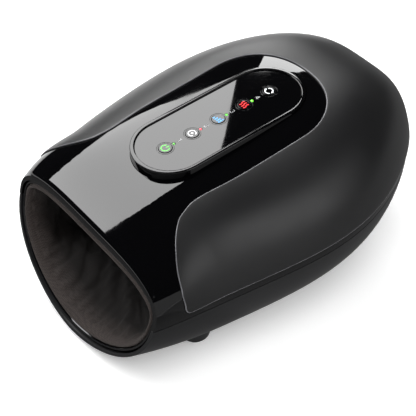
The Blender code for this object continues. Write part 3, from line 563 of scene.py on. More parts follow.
for centre in feet.values():
    rings = [(circle(radius, centre, 40), rise) for radius, rise in boss_flare]
    boss = [np.column_stack([ring, rise * in_floor(ring)]) for ring, rise in rings]
    combine(lower_shell, "UNION", ring_mesh("boss", boss, closed=False))
    seat = turned_loops([(seat_radius, -foot_drop), (seat_radius, seat_depth)], centre)
    combine(lower_shell, "DIFFERENCE", ring_mesh("seat", seat, closed=False))

# Each housing screw goes up a post that stands on the floor of the shell, through a well from below.
for k in range(1, 5):
    low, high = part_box("housing_screw_%d" % k)
    centre = (low.x + high.x) / 2 - shift[0], (low.y + high.y) / 2 - shift[1]
    seat_z = low.z - shift[2] + screw_head_room
    ring = circle(post_radius, centre, 32)
    post = [np.column_stack([ring, in_floor(ring)]), np.column_stack([ring, np.full(32, seat_z + post_over_seat)])]
    combine(lower_shell, "UNION", ring_mesh("post", post, closed=False))
    well = turned_loops([(well_radius, -foot_drop), (well_radius, seat_z)], centre, 32)
    combine(lower_shell, "DIFFERENCE", ring_mesh("well", well, closed=False))

socket_low, socket_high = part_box("charging_socket")


def socket_loop(grow, y):
    """Oval outline of the socket in its node's box, grown, at a length y."""
    half, radius = (socket_high.x - socket_low.x) / 2, (socket_high.z - socket_low.z) / 2
    turn = np.linspace(0, 2 * math.pi, 48, endpoint=False)
    x = (radius + grow) * np.cos(turn) + np.where(np.cos(turn) > 0, 1, -1) * (half - radius)
    return np.stack([x, np.full(48, y), (socket_low.z + socket_high.z) / 2 + (radius + grow) * np.sin(turn)], -1)


combine(lower_shell, "DIFFERENCE", solid_mesh("opening", [
    socket_loop(socket_gap, y) for y in (socket_low.y - socket_front_room, socket_high.y + socket_rear_room)]))
print("lower shell with bosses:", len(lower_shell.data.polygons), "faces")
for shell, node, slot in ((upper_shell, "upper_housing", "gloss_abs"), (lower_shell, "lower_housing", "satin_abs")):
    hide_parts(node)

# %% [markdown]
# ## Soft-touch cover
# The cover is a thin separate moulding: a horseshoe that wraps the sides and the rear and leaves
# the glossy strip bare. Cutting it out of a finished skin with a Boolean would leave ragged
# little faces along its long edge, where the eye looks first. So its two borders are drawn first,
# one round the glossy strip and one along the hem, and the skin is spanned between them. Each
# point in between is pushed out from inside the body until it meets the skin.
# %% Borders of the cover
cover_top, cover_under = 1.2 * mm, 0.25 * mm
cover_front, cover_corner, cover_hem = 42.3 * mm, 4.0 * mm, 5.2 * mm
fascia_half, fascia_end, fascia_round, fascia_power = 43.2 * mm, 196.3 * mm, 40.0 * mm, 2.15
shoulder_shares = ((0.4645, 0.48), (0.4625, 0.43), (0.456, 0.375), (0.443, 0.325), (0.440, 0.289), (0.456, 0.262),
                   (0.484, 0.238), (0.553, 0.2115), (0.624, 0.1925), (0.710, 0.1740), (0.796, 0.1640),
                   (0.900, 0.1585), (1.100, 0.1470), (1.3, 0.138))
# The shoulder line ends short of the side, and the front edge takes over a little below its end.
shoulder_reach, front_lead = 0.93, 2.5 * mm
hem_even_to, border_points = 0.93, 200


def catmull(points, steps):
    """Smooth curve through points, without its first and last one."""
    line = []
    for k in range(1, len(points) - 2):
        a, b, c, d = (np.array(points[k + i], float) for i in (-1, 0, 1, 2))
        for t in np.arange(steps) / steps:
            bend = (2 * a - 5 * b + 4 * c - d) * t * t + (3 * b - a - 3 * c + d) * t ** 3
            line.append(0.5 * (2 * b + (c - a) * t + bend))
    return np.array(line)


def evenly(line, count):
    """The same line with points at equal distances."""
    run = np.concatenate([[0], np.linalg.norm(np.diff(line, axis=0), axis=1).cumsum()])
    goal = np.linspace(0, run[-1], count)
    return np.stack([np.interp(goal, run, line[:, k]) for k in range(line.shape[1])], -1)


def lift(points, by):
    return points + facing(points) * by


def under_outline(x, y, rounds=12, pull=0.7):
    """Skin point whose lifted point lies on the outline point (x, y)."""
    sx, sy = x.copy(), y.copy()
    for _ in range(rounds):
        raised = lift(np.stack([sx, sy, skin_height(sx, sy)], -1), cover_top)
        sx = np.clip(sx + (x - raised[:, 0]) * pull, 0, section_sizes(sy, True)[0] * 0.9999)
        sy = sy + (y - raised[:, 1]) * pull
    return np.stack([sx, sy, skin_height(sx, sy)], -1)


def side_point(y, over):
    """Half width of the skin at a height over the seam."""
    half, tall = section_sizes(y, True)
    n, m = section_powers(y, True)
    return half * np.clip(1 - np.clip(over / np.maximum(tall, 1e-9), 0, 1) ** m, 0, None) ** (1 / n)


turns = np.linspace(0, math.pi / 2, 90)
arc = np.stack([fascia_half * np.sin(turns) ** (2 / fascia_power),
                fascia_end - fascia_round + fascia_round * np.cos(turns) ** (2 / fascia_power)], -1)
shoulder = catmull([(sx * half_width, sy * body_length) for sx, sy in shoulder_shares], 30)
shoulder = shoulder[shoulder[:, 1] < fascia_end - fascia_round]
plan = np.concatenate([arc, shoulder])
side = section_sizes(plan[:, 1], True)[0] + cover_top
plan = plan[plan[:, 0] < side * shoulder_reach]
inner_right = under_outline(plan[:, 0], plan[:, 1])

# Down the front edge: from the shoulder's end to the round corner over the hem.
front = skin_points(np.full(400, cover_front), np.linspace(1, 0, 400), True)
corner_z = float(seam_height(cover_front)) + cover_hem + cover_corner
front = front[(front[:, 2] < inner_right[-1, 2] - front_lead) & (front[:, 2] > corner_z)]
inner_right = evenly(np.concatenate([inner_right, front]), border_points)

# Hem: a line at a fixed height over the seam, from the corner round to the rear.
hem_y = np.concatenate([np.linspace(cover_front + cover_corner, hem_even_to * body_length, 160),
                        body_length * (1 - (1 - hem_even_to) * np.linspace(1, 0, 400)[1:] ** 2)])
hem_right = np.stack([side_point(hem_y, cover_hem), hem_y, seam_height(hem_y) + cover_hem], -1)
hem_right = hem_right[section_sizes(hem_y, True)[1] > cover_hem]
hem_right[-1, 0] = 0
hem_right = evenly(hem_right, border_points)[::-1]
print("cover edge", round(float(np.linalg.norm(np.diff(inner_right, axis=0), axis=1).sum() / mm)), "mm a side")

# %% Cover skin
along, across = 300, 56
# The skin is sought along lines that start from a spine inside the body.
search_rounds, spine_share = 46, 0.25
spine_front, spine_rear, spine_drop = 55 * mm, 185 * mm, 2 * mm
inner_border, hem_border = (evenly(np.concatenate([(line * (-1, 1, 1))[::-1], line[1:]]), along)
                            for line in (inner_right, hem_right))
# Places of the border's points in the grid, once round.
rim = [r * across for r in range(along)] + [(along - 1) * across + c for c in range(1, across)]
rim += [r * across + across - 1 for r in range(along - 2, -1, -1)] + list(range(across - 2, 0, -1))


def span(inner_line, hem_line, ends):
    """Grid of points on the skin between two borders; ends are its first and last row."""
    v = np.linspace(0, 1, 120)
    chord = inner_line[:, None] * (1 - v[:, None]) + hem_line[:, None] * v[:, None]
    middle_y = np.clip(chord[..., 1], spine_front, spine_rear)
    spine = np.stack([chord[..., 0] * spine_share, middle_y, seam_height(middle_y) - spine_drop], -1)
    near, far = np.full(chord.shape[:2], 0.5), np.full(chord.shape[:2], 4.0)
    for _ in range(search_rounds):
        half_way = (near + far) / 2
        out = outside(spine + (chord - spine) * half_way[..., None]) > 0
        near, far = np.where(out, near, half_way), np.where(out, half_way, far)
    rows = np.stack([evenly(row, across) for row in spine + (chord - spine) * near[..., None]])
    rows[0], rows[-1] = (evenly(row, across) for row in ends)
    rows[:, 0], rows[:, -1] = inner_line, hem_line
    return rows


# The corner over the hem is a quarter circle on the side of the body.
ends = []
for end, mirrored in ((0, -1), (-1, 1)):
    turn = np.linspace(0, math.pi / 2, 120)
    y = cover_front + cover_corner * (1 - np.cos(turn))
    z_over = cover_hem + cover_corner * (1 - np.sin(turn))
    ends.append(np.stack([mirrored * side_point(y, z_over), y, seam_height(y) + z_over], -1))
    inner_border[end], hem_border[end] = ends[-1][0], ends[-1][-1]
cover_rows = span(inner_border, hem_border, ends)


def on_skin(points, rounds=8):
    """Moves points near the skin onto it, along the way that it faces."""
    for _ in range(rounds):
        way = facing(points)
        rate = (outside(points + way * slope_step) - outside(points - way * slope_step)) / (2 * slope_step)
        points = points - way * np.clip(outside(points) / np.maximum(rate, 1e-9), -mm, mm)[..., None]
    return points


def rim_inward(by):
    """The cover's border, moved in over the skin by a distance."""
    line = cover_rows.reshape(-1, 3)[rim]
    ahead = np.concatenate([line[1:], line[:1]]) - np.concatenate([line[-1:], line[:-1]])
    inward = np.cross(facing(line), ahead)
    inward /= np.linalg.norm(inward, axis=1, keepdims=True)
    centre_row = cover_rows[along // 2]
    if np.dot(inward[along // 2], centre_row[1] - centre_row[0]) < 0:
        inward = -inward
    return on_skin(line + inward * by)


# A rounded edge, 0.6 mm wide: each entry is how far in from the border a loop lies, and how high.
edge_profile = in_mm([(0.6, 1.2), (0.36, 1.16), (0.17, 1.06), (0.05, 0.92), (0.0, 0.76), (0.0, 0.25)])
edge_loops = [lift(rim_inward(inset), height) for inset, height in edge_profile]
inset_rows = cover_rows.reshape(-1, 3).copy()
inset_rows[rim] = rim_inward(edge_profile[0][0])
inset_rows = inset_rows.reshape(along, across, 3)
top_rows = span(inset_rows[:, 0], inset_rows[:, -1], (inset_rows[0], inset_rows[-1]))
sheets = [lift(top_rows, cover_top).reshape(-1, 3), lift(cover_rows, cover_under).reshape(-1, 3)]
faces = grid_faces(along, across) + grid_faces(along, across, start=along * across)
plain_faces, loop_length = len(faces), len(rim)
levels = [rim]
levels += [[2 * along * across + k * loop_length + i for i in range(loop_length)] for k in range(len(edge_loops) - 2)]
levels.append([along * across + v for v in rim])
for upper, lower in zip(levels, levels[1:]):
    faces += [[upper[i], upper[(i + 1) % loop_length], lower[(i + 1) % loop_length], lower[i]]
              for i in range(loop_length)]
wrap_mesh = mesh_of("soft_wrap", np.concatenate(sheets + edge_loops[1:-1]), faces)
dress("soft_wrap", wrap_mesh, soft_coat, "soft_cover", sharp=60)
# The rounded edge's faces take the coat whose lighter colour is a painted highlight.
wrap_mesh.materials.append(highlight_edge_coat)
for face in wrap_mesh.polygons:
    face.material_index = int(plain_faces <= face.index < plain_faces + 4 * loop_length)
print("cover:", len(wrap_mesh.polygons), "faces")

# %% [markdown]
# ## Mouth
# A gloss-black ring closes the housing's edge, and the fabric lining starts inside it. Both are
# lofted through loops that follow the leaning mouth plane. The lining is a padded, knitted
# fabric: it rolls over at the lip and runs in soft folds to the tunnel.
# %% Mouth loops
loop_steps = 96
tunnel_front, tunnel_half = 52.0 * mm, 0.667 * half_width
tunnel_low, tunnel_high = 20.5 * mm, 80.6 * mm
tunnel_mid, tunnel_tall = (tunnel_low + tunnel_high) / 2, (tunnel_high - tunnel_low) / 2
tunnel_power = 5.0


def mouth_loop(out, depth):
    """Closed loop on the skin grown by out, on a plane depth behind the mouth plane."""
    share = both_sides(loop_steps)
    loops = [skin_points(mouth_length(share, top, out, depth), share, top, out) for top in (True, False)]
    return np.concatenate([loops[0], loops[1][::-1][1:-1]])


def tunnel_loop(y, inward):
    """Loop of the tunnel's rounded section."""
    turn = np.linspace(0, math.pi / 2, 2000)
    a, b = tunnel_half - inward, tunnel_tall - inward
    quarter = np.stack([a * np.cos(turn) ** (2 / tunnel_power), np.sin(turn) ** (2 / tunnel_power) * b], -1)
    quarter = evenly(quarter, loop_steps // 2 + 1)
    over = np.concatenate([quarter, (quarter * (-1, 1))[::-1][1:]])
    around = np.concatenate([over, (over * (1, -1))[::-1][1:-1]])
    return np.stack([around[:, 0], np.full(len(around), y), tunnel_mid + around[:, 1]], -1)


ring_profile = in_mm([(-5.4, 8.4), (-5.6, 8.0), (-5.6, 2.4), (-5.3, 1.5), (-4.7, 0.95), (-4.2, 0.8), (-3.8, 0.95),
                      (-3.3, 1.5), (-3.05, 2.4), (-3.05, 8.0), (-3.3, 8.4)])
dress("mouth_trim", ring_mesh("mouth_trim", [mouth_loop(*at) for at in ring_profile]), gloss_abs, "mouth_ring",
      sharp=60)
print("mouth loop", round(float(np.linalg.norm(np.diff(mouth_loop(0, 0), axis=0), axis=1).sum() / mm)), "mm round")

# %% Knitted lining fabric
lining_knit, tree = finish("knitted_polyester", "#2E2826", 0.9, sheen_weight=0.05, sheen_roughness=0.4,
                           sheen_tint=linear("#8F857D"))
# The knit has about 20 stitches per 10 mm; it is drawn at 1 mm a stitch so that it shows.
stitches = cells(tree, 1000.0, Randomness=0.35)
# Wear lightens it in patches of about 2 cm.
worn = noise(tree, 45.0, 5.0)
# The lip is a lighter, brushed binding. Behind it the cloth is painted much darker towards the tunnel,
# a painted shade for the deep mouth. The two meet about 12 mm in, measured along the leaning mouth: the
# length less a share of the height.
binding_end, painted_shade_start = 5 * mm, 17 * mm
place_in = add(tree, "ShaderNodeSeparateXYZ", {"Vector": own_place(tree)})
leaned = add(tree, "ShaderNodeMath", {0: place_in.outputs["Z"], 1: -mouth_lean, 2: place_in.outputs["Y"]},
             operation="MULTIPLY_ADD")
mouth_at = float(mouth_setback + shift[1] - mouth_lean * shift[2])
painted_shade_depth = spread(tree, leaned.outputs["Value"], 0.0, 1.0, mouth_at + binding_end, mouth_at + painted_shade_start)
# Lip binding colour near the mouth; deeper in, the dark colours are painted shade.
cloth = tinted(tree, painted_shade_depth, tinted(tree, worn, "#3A3331", "#4B4340"), tinted(tree, worn, "#0F0C0B", "#171312"))
drive(tree, base_color=tinted(tree, stitches, cloth, "#0C0A09"),
      normal=bumped(tree, stitches, 0.4, 0.15 * mm, invert=True))
print("made", lining_knit.name)

# %% [markdown]
# ## Padding by cloth simulation
# The folds of the padding could be sculpted or drawn with a formula. The lining starts from a
# formula, with shallow gathers, and a cloth simulation then blows it up like the real padding:
# its lip and its rear end are sewn down, and the fabric between them is cut a little too wide.
# %% Padded lining
lining_rows, padding, lining_start = 34, 3.0 * mm, (-6.4 * mm, 5.0 * mm)
lip_profile = in_mm([(-9.3, 4.0), (-8.6, 2.4), (-7.4, 1.0), (-6.3, 0.7), (-5.75, 1.4), (-5.9, 3.0)])
swell_height, lip_gather, deep_gather = 1.6 * mm, 0.35 * mm, 0.3 * mm
# Gathers once round the mouth, and the shares of the depth over which the fine ones start and fade.
lip_waves, deep_waves, lip_start, lip_fade = 41, 17, 0.06, 0.28
tunnel_gap = 0.3 * mm


def lining_loops(inward):
    """Loops from the lip back to the tunnel, moved in by the padding's thickness."""
    first = mouth_loop(lining_start[0] - inward, lining_start[1])
    last = tunnel_loop(tunnel_front - tunnel_gap, inward)
    u = np.linspace(0, 1, lining_rows)[:, None]
    bends = np.stack([soft_step(u), u, soft_step(u)], -1)
    return first + (last - first) * bends


def inflate(piece, free, pressure, spare, most, frames=20):
    """Cloth simulation of a closed pad: its free points swell, the rest is sewn down.

    spare is the share by which the fabric is cut too wide, most the furthest that a point may move.
    """
    held = piece.vertex_groups.new(name="sewn_down")
    held.add([k for k in range(len(piece.data.vertices)) if k not in free], 1.0, "REPLACE")
    step = piece.modifiers.new("padding", "CLOTH")
    fabric = step.settings
    fabric.quality, fabric.mass = 6, 0.2
    fabric.tension_stiffness = fabric.compression_stiffness = 15
    fabric.shear_stiffness, fabric.bending_stiffness = 5, 0.15
    fabric.use_pressure, fabric.uniform_pressure_force = True, pressure
    fabric.shrink_min = -spare
    fabric.vertex_group_mass = held.name
    fabric.effector_weights.gravity = 0
    step.point_cache.frame_start, step.point_cache.frame_end = 1, frames
    rest = np.array([v.co for v in piece.data.vertices])
    for now in range(1, frames + 1):
        bpy.context.scene.frame_set(now)
    swollen = piece.evaluated_get(bpy.context.evaluated_depsgraph_get()).to_mesh()
    move = np.array([v.co for v in swollen.vertices]) - rest
    piece.modifiers.clear()
    length = np.linalg.norm(move, axis=1, keepdims=True)
    move *= most * np.tanh(length / most) / np.maximum(length, 1e-9)
    piece.data.vertices.foreach_set("co", (rest + move).ravel())
    piece.data.update()
    bpy.context.scene.frame_set(1)
    return float(np.linalg.norm(move, axis=1).max())


inside_face = lining_loops(padding)
turn = np.linspace(0, 2 * math.pi, inside_face.shape[1], endpoint=False)
u = np.linspace(0, 1, lining_rows)[:, None]
towards = inside_face.mean(1, keepdims=True) - inside_face
towards /= np.linalg.norm(towards, axis=-1, keepdims=True)
# Padding swells between the lip seam and the tunnel, and gathers run back from the lip.
swell = swell_height * np.sin(math.pi * np.clip(u, 0, 1)) ** 0.8
fine = np.sin(turn * lip_waves + 2.1 * np.sin(turn * 5)) * np.exp(-(u / lip_fade) ** 2) * np.clip(u / lip_start, 0, 1)
deep = np.sin(turn * deep_waves + 3 * u * 4 + np.sin(turn * 3)) * np.sin(math.pi * u)
inside_face = inside_face + towards * (swell + (lip_gather * fine + deep_gather * deep))[..., None]
lip_loops = [mouth_loop(*at) for at in lip_profile]
lining_rings = lip_loops[::-1] + list(inside_face) + list(lining_loops(0)[::-1])
mouth_lining = place("mouth_lining", ring_mesh("mouth_lining", lining_rings), lining_knit, sharp=75)
unsewn = {tuple(np.round(point + shift, 6)) for row in inside_face[2:-2] for point in row}
free_points = {v.index for v in mouth_lining.data.vertices if tuple(np.round(v.co, 6)) in unsewn}
swollen_by = inflate(mouth_lining, free_points, pressure=4.0, spare=0.05, most=2.6 * mm)
print("lining swells by up to", round(swollen_by / mm, 1), "mm,", len(free_points), "free points")
step = mouth_lining.modifiers.new("smooth", "SUBSURF")
step.levels = step.render_levels = 1
bake(mouth_lining)
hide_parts("mouth_collar")
print("lining:", len(mouth_lining.data.polygons), "faces")

# %% [markdown]
# ## Control pod
# The pod is a raised slot-shaped bezel with a gloss panel let into it. A bezel can be cut with
# Booleans and rounded with a Bevel. It is swept here instead: its cross-section is a short list
# of insets and heights, and each entry becomes one loop of the slot outline.
# %% Bezel
bezel_profile = in_mm([(2.6, -14.0), (2.6, -0.35), (2.57, -0.14), (2.48, -0.03), (2.35, 0.0), (0.55, 0.0),
                       (0.3, -0.06), (0.1, -0.26), (0.0, -0.6), (0.0, -14.0)])
pod_bezel = dress("pod_bezel", ring_mesh("pod_bezel", slot_loops(bezel_profile), shifted=False), gloss_abs, "pod_rim",
                  sharp=50)
print("bezel:", len(pod_bezel.data.polygons), "faces")

# %% Panel
button_stand, panel_recess, lens_behind = 0.3 * mm, 0.8 * mm, 6.2 * mm
panel_profile = in_mm([(2.9, -2.8), (2.9, -1.0), (2.95, -0.86), (3.08, -0.8)])
button_hole = [(4.3, -6), (4.3, -0.95), (4.45, -0.79), (4.45, 2)]
lens_hole = [(1.2, -6), (1.2, 2)]
# A fine raised bead round each button shows the fingertip where it is, and always catches some light.
bead_profile = [(5.08, -0.9), (5.1, -0.77), (5.16, -0.71), (5.24, -0.69), (5.32, -0.71), (5.38, -0.77), (5.4, -0.9)]


def pod_disc(y, profile, count=48):
    """Turned shape on the pod's middle line at y: pairs of radius and height, in mm."""
    return on_pod(turned_loops(in_mm(profile), (0, y), count))


pod_plate = place("pod_plate", solid_mesh("pod_plate", slot_loops(panel_profile)), gloss_abs, sharp=50)
for k in range(5):
    combine(pod_plate, "DIFFERENCE", solid_mesh("hole", pod_disc(k * button_pitch, button_hole)))
for k in range(4):
    combine(pod_plate, "DIFFERENCE", solid_mesh("hole", pod_disc(k * button_pitch + lens_behind, lens_hole)))
for k in range(5):
    bead = ring_mesh("bead", pod_disc(k * button_pitch, bead_profile, 64), shifted=False)
    dress("button_bead_%d" % (k + 1), bead, gloss_abs, None, sharp=80)
# The flat top is one face with nine holes: its corners get the plane's own direction, or the gloss ripples.
pod_up = Vector(pod_frame.col[2][:3])
pod_plate.data.polygons.foreach_set("use_smooth", [True] * len(pod_plate.data.polygons))
pod_plate.data.set_sharp_from_angle(angle=math.radians(30))
flat_corners = [tuple(pod_up) if face.normal.dot(pod_up) > 0.999 else (0.0, 0.0, 0.0)
                for face in pod_plate.data.polygons for _ in face.loop_indices]
pod_plate.data.normals_split_custom_set(flat_corners)
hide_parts("pod_panel")
print("panel:", len(pod_plate.data.polygons), "faces")

# %% [markdown]
# ## Buttons, lamps and prints
# Each button is a turned cap with a rounded edge and a shallow dish for the fingertip, on the
# same stem as the solid one. The signs on the caps are thin printed shapes with a little light of
# their own, a painted glow, as no lamp is built behind them. A picture of each sign would need an
# image texture; strips and arcs in mesh code stay sharp at any size.
# %% Button caps
button_names = ("power", "mode", "intensity", "heat", "timer")
cap_top, stem_radius = (button_stand - panel_recess) / mm, 4.1 / 3
cap_profile = [(stem_radius, -4.1), (stem_radius, -3.4), (5.0, -3.4), (5.0, -3.1), (4.1, -3.1), (4.1, cap_top - 0.16),
               (4.06, cap_top - 0.05), (3.96, cap_top), (3.8, cap_top), (2.6, cap_top - 0.02),
               (1.2, cap_top - 0.03), (0.3, cap_top - 0.03)]
for k, label in enumerate(button_names):
    cap = solid_mesh(label + "_cap", pod_disc(k * button_pitch, cap_profile, 56))
    dress(label + "_cap", cap, gloss_abs, label + "_button", label + "_button", sharp=45)
print("caps:", ", ".join(button_names))


# %% Glowing colours: lamp lenses, and inks with a painted glow
def glowing(name, code, strength, pattern, swing, roughness, **values):
    """Lens with a lamp behind it, or ink given a painted glow of its own; the glow swings by a share with a pattern.
    """
    look, tree = finish(name, code, roughness, emission_color=linear(code), **values)
    glow = spread(tree, noise(tree, *pattern), strength * (1 - swing), strength * (1 + swing))
    drive(tree, emission_strength=glow)
    return look


# The inks get a painted glow, with no lamp built behind them; it is slightly uneven over 3 mm.
green_ink, white_ink, blue_ink, red_ink = (
    glowing("lit_%s_ink" % name, code, strength, (330.0, 1.0), 0.25, 0.4) for name, code, strength in (
        ("green", "#74DC66", 0.55), ("white", "#EEF0F1", 0.6), ("blue", "#66AEEA", 0.55), ("red", "#D32228", 0.5)))
grey_ink, tree = finish("screen_printed_grey_ink", "#D8D9DB", 0.5)
# The screen's mesh leaves marks of about 1 mm in the ink.
drive(tree, base_color=tinted(tree, noise(tree, 900.0, 2.0), "#C6C7C9", "#E4E5E6"))
print("made 4 inks with a painted glow and", grey_ink.name)


# %% Signs on the caps
ink_height, sign_height = 0.04 * mm, button_stand - panel_recess


def strip(line, width):
    """Flat strip of a width along a line, as points and faces."""
    line = np.asarray(line, float)
    way = np.gradient(line, axis=0)
    way /= np.linalg.norm(way, axis=1, keepdims=True)
    side = np.stack([-way[:, 1], way[:, 0]], -1) * width / 2
    points = np.concatenate([line + side, line - side])
    n = len(line)
    return points, [[k, k + 1, n + k + 1, n + k] for k in range(n - 1)]


def arc_line(radius, start, end, centre=(0, 0), steps=36):
    turn = np.radians(np.linspace(start, end, steps))
    return np.stack([centre[0] + radius * np.cos(turn), centre[1] + radius * np.sin(turn)], -1)


def flat_disc(radius, count=40):
    """Flat disc as points and faces."""
    return np.concatenate([[[0, 0]], arc_line(radius, 0, 360, steps=count)]), [[0, k, k + 1] for k in range(1, count)]


def sign(name, shapes, look, centre_y, height, body, size=1.0):
    """Print of flat shapes on the pod. The shapes are drawn in mm."""
    points, faces = [], []
    for flat, quads in shapes:
        start = len(points)
        points += [(x * mm * size, centre_y + y * mm * size, height) for x, y in flat]
        faces += [[start + v for v in quad] for quad in quads]
    mesh = bpy.data.meshes.new(name)
    mesh.from_pydata(on_pod(points).tolist(), [], faces)
    piece = place(name, mesh, look, body)
    step = piece.modifiers.new("ink", "SOLIDIFY")
    step.thickness, step.offset = ink_height, 1
    bake(piece)


wave_line = np.stack([0.5 * np.sin(np.linspace(0, 2 * math.pi, 24)), np.linspace(-2.3, 2.3, 24)], -1)
arrow_head = np.array([(3.25, 1.3), (1.4, 0.75), (2.75, -0.45)])
signs = {
    "power": (green_ink, [strip(arc_line(2.5, 128, 412, steps=50), 0.72), strip([(0, 0.6), (0, 3.0)], 0.72)]),
    "mode": (white_ink, [strip(arc_line(2.4, 25, 335, steps=50), 0.62), flat_disc(0.8)]),
    "intensity": (blue_ink, [strip([(x, -2.2), (x, -2.2 + tall)], 0.95)
                             for x, tall in ((-2.5, 1.7), (-0.85, 2.6), (0.85, 3.5), (2.5, 4.4))]),
    "heat": (red_ink, [strip(wave_line + (x, 0), 0.95) for x in (-1.9, 0, 1.9)]),
    "timer": (white_ink, [strip(arc_line(2.45, 15, 150), 0.8), strip(arc_line(2.45, 195, 330), 0.8),
                          (arrow_head, [[0, 1, 2]]), (-arrow_head, [[0, 1, 2]])]),
}
for k, label in enumerate(button_names):
    sign(label + "_sign", signs[label][1], signs[label][0], k * button_pitch, sign_height, label + "_button")
print("signs drawn on", len(signs), "caps")

# %% Indicator lamps
lamp_profile = [(0.9, -8.5), (0.9, -0.95), (0.84, -0.78), (0.66, -0.68), (0.4, -0.62), (0.12, -0.6)]
lamp_codes = (("#5FB04C", 0.5), ("#E8606A", 0.9), ("#63D24A", 1.0), ("#6CF03C", 1.6))
for k, (code, strength) in enumerate(lamp_codes):
    # The lamp's chip sits behind the middle of the window, so the light is uneven over half a mm.
    look = glowing("polycarbonate_lamp_%d" % (k + 1), code, strength, (1800.0, 0.0), 0.4, 0.15, ior=1.58)
    window = solid_mesh("window", pod_disc(k * button_pitch + lens_behind, lamp_profile, 28))
    dress("lamp_window_%d" % (k + 1), window, look, "indicator_lens_%d" % (k + 1), sharp=60)
print("lamps:", len(lamp_codes))

# %% Numbers on the panel
number_behind, number_height, number_size = 10.8 * mm, -panel_recess + 0.03 * mm, 1.35
stroke_width, stroke_overlap = 0.26, 0.09
digit_lines = {
    1: [[(-0.35, 0.7), (0.1, 1.1), (0.1, -1.1)]],
    2: [np.concatenate([arc_line(0.62, 165, -35, (0, 0.48), 16), [(-0.62, -1.1), (0.7, -1.1)]])],
    3: [np.concatenate([arc_line(0.55, 150, -80, (0, 0.55), 14), arc_line(0.62, 80, -150, (0, -0.5), 14)])],
    4: [[(0.35, -1.1), (0.35, 1.1), (-0.75, -0.45), (0.8, -0.45)]],
}
for digit, lines in digit_lines.items():
    shapes = []
    for line in lines:
        for a, b in zip(line[:-1], line[1:]):
            a, b = np.array(a, float), np.array(b, float)
            grow = (b - a) / np.linalg.norm(b - a) * stroke_overlap
            shapes.append(strip([a - grow, b + grow], stroke_width))
    sign("number_%d" % digit, shapes, grey_ink, (digit - 1) * button_pitch + number_behind, number_height, "base",
         number_size)
print("numbers 1 to 4 printed")

# %% [markdown]
# ## Feet
# Four rubber feet sit in shallow seats under the base. A moulded rubber foot has a rounded rim
# and a slightly dished sole, which is turned here from a short profile.
# %% Feet
foot_rubber, tree = finish("compression_moulded_rubber", "#262626", 0.85)
# Bloom on rubber comes in soft patches of about 5 mm.
bloom = noise(tree, 200.0, 4.0)
drive(tree, base_color=tinted(tree, bloom, "#1E1E1E", "#333332"), normal=bumped(tree, bloom, 0.3, 0.1 * mm))
sole_profile = in_mm([(7.5, 0.7), (7.5, -1.9), (7.25, -2.5), (6.7, -2.88), (6.1, -3.0), (5.2, -3.0), (4.9, -2.75),
                      (0.5, -2.7)])
for label, centre in feet.items():
    foot = ring_mesh("foot", turned_loops(sole_profile, centre, 48), closed=False)
    dress("rubber_foot_" + label, foot, foot_rubber, "foot_" + label, sharp=50)
print("feet:", len(feet))

# %% [markdown]
# ## What presses on the hand
# Over and under the hand lie film air cells and the padded plates that they push. An air cell is
# two films welded round the rim, so it is a pillow: crowned in the middle, pulled in at the weld.
# A cloth simulation could inflate it, but it fills a gap of only 5 mm between flat faces, where
# the swelling is known beforehand, so the crown is a formula here.
# %% Pillows and pads
corner_radius, dimple_pitch, pillow_rings, inmost = 10 * mm, 9 * mm, 14, 0.04


def rounded_outline(low, high, count=12):
    """Plan outline of a rounded rectangle."""
    mids = [(high[0] - corner_radius, high[1] - corner_radius), (low[0] + corner_radius, high[1] - corner_radius),
            (low[0] + corner_radius, low[1] + corner_radius), (high[0] - corner_radius, low[1] + corner_radius)]
    return np.concatenate([arc_line(corner_radius, 90 * k, 90 * k + 90, mid, count) for k, mid in enumerate(mids)])


def pillow(name, node, look, crown, edge, body="base", dimples=0.0):
    """Crowned pad in the box of a CAD node. edge is the share of the height left at the rim."""
    low, high = (np.array(v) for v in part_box(node))
    outline, centre = rounded_outline(low, high), (low + high) / 2
    loops = []
    for side, shares in ((-1, np.linspace(inmost, 1, pillow_rings)), (1, np.linspace(1, inmost, pillow_rings))):
        for s in shares:
            flat = centre[:2] + (outline - centre[:2]) * s
            bulge = edge + (1 - edge) * (1 - s ** crown)
            ripple = dimples * np.sin(flat / dimple_pitch * 2 * math.pi).prod(1) * (1 - s ** 6)
            z = centre[2] + side * ((high[2] - low[2]) / 2 * bulge - np.abs(ripple))
            loops.append(np.column_stack([flat, z]))
    piece = place(name, solid_mesh(name, loops), look, body, sharp=60)
    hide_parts(node)
    return piece


def solid_finish(name, light, dark, scale, roughness, **values):
    """Material whose colour, roughness and bump vary together by one noise, in waves per metre."""
    look, tree = finish(name, light, roughness, **values)
    grain = noise(tree, scale, 4.0)
    rough = spread(tree, grain, max(roughness - 0.08, 0.02), min(roughness + 0.08, 1.0))
    drive(tree, base_color=tinted(tree, grain, dark, light), roughness=rough,
          normal=bumped(tree, grain, 0.3, 0.05 * mm))
    return look


def air_cell(label, crown):
    """Film cell that stretches from the base, over or under it, to the plate that it pushes."""
    cell = pillow(label + "_pillow", label + "_air_cell", cell_film, crown, 0.45, body=None)
    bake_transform(cell)


# Creases in the welded film are about 4 mm apart.
cell_film = solid_finish("welded_tpu_film", "#59616A", "#454C54", 260.0, 0.35)
for label, body in (("hand", "hand_press"), ("finger", "finger_press")):
    air_cell(label, 5)
    cushion = pillow(label + "_cushion", label + "_press_pad", lining_knit, 6, 0.5, body=body, dimples=0.25 * mm)
air_cell("palm", 7)
print("pillows made in their own gaps")

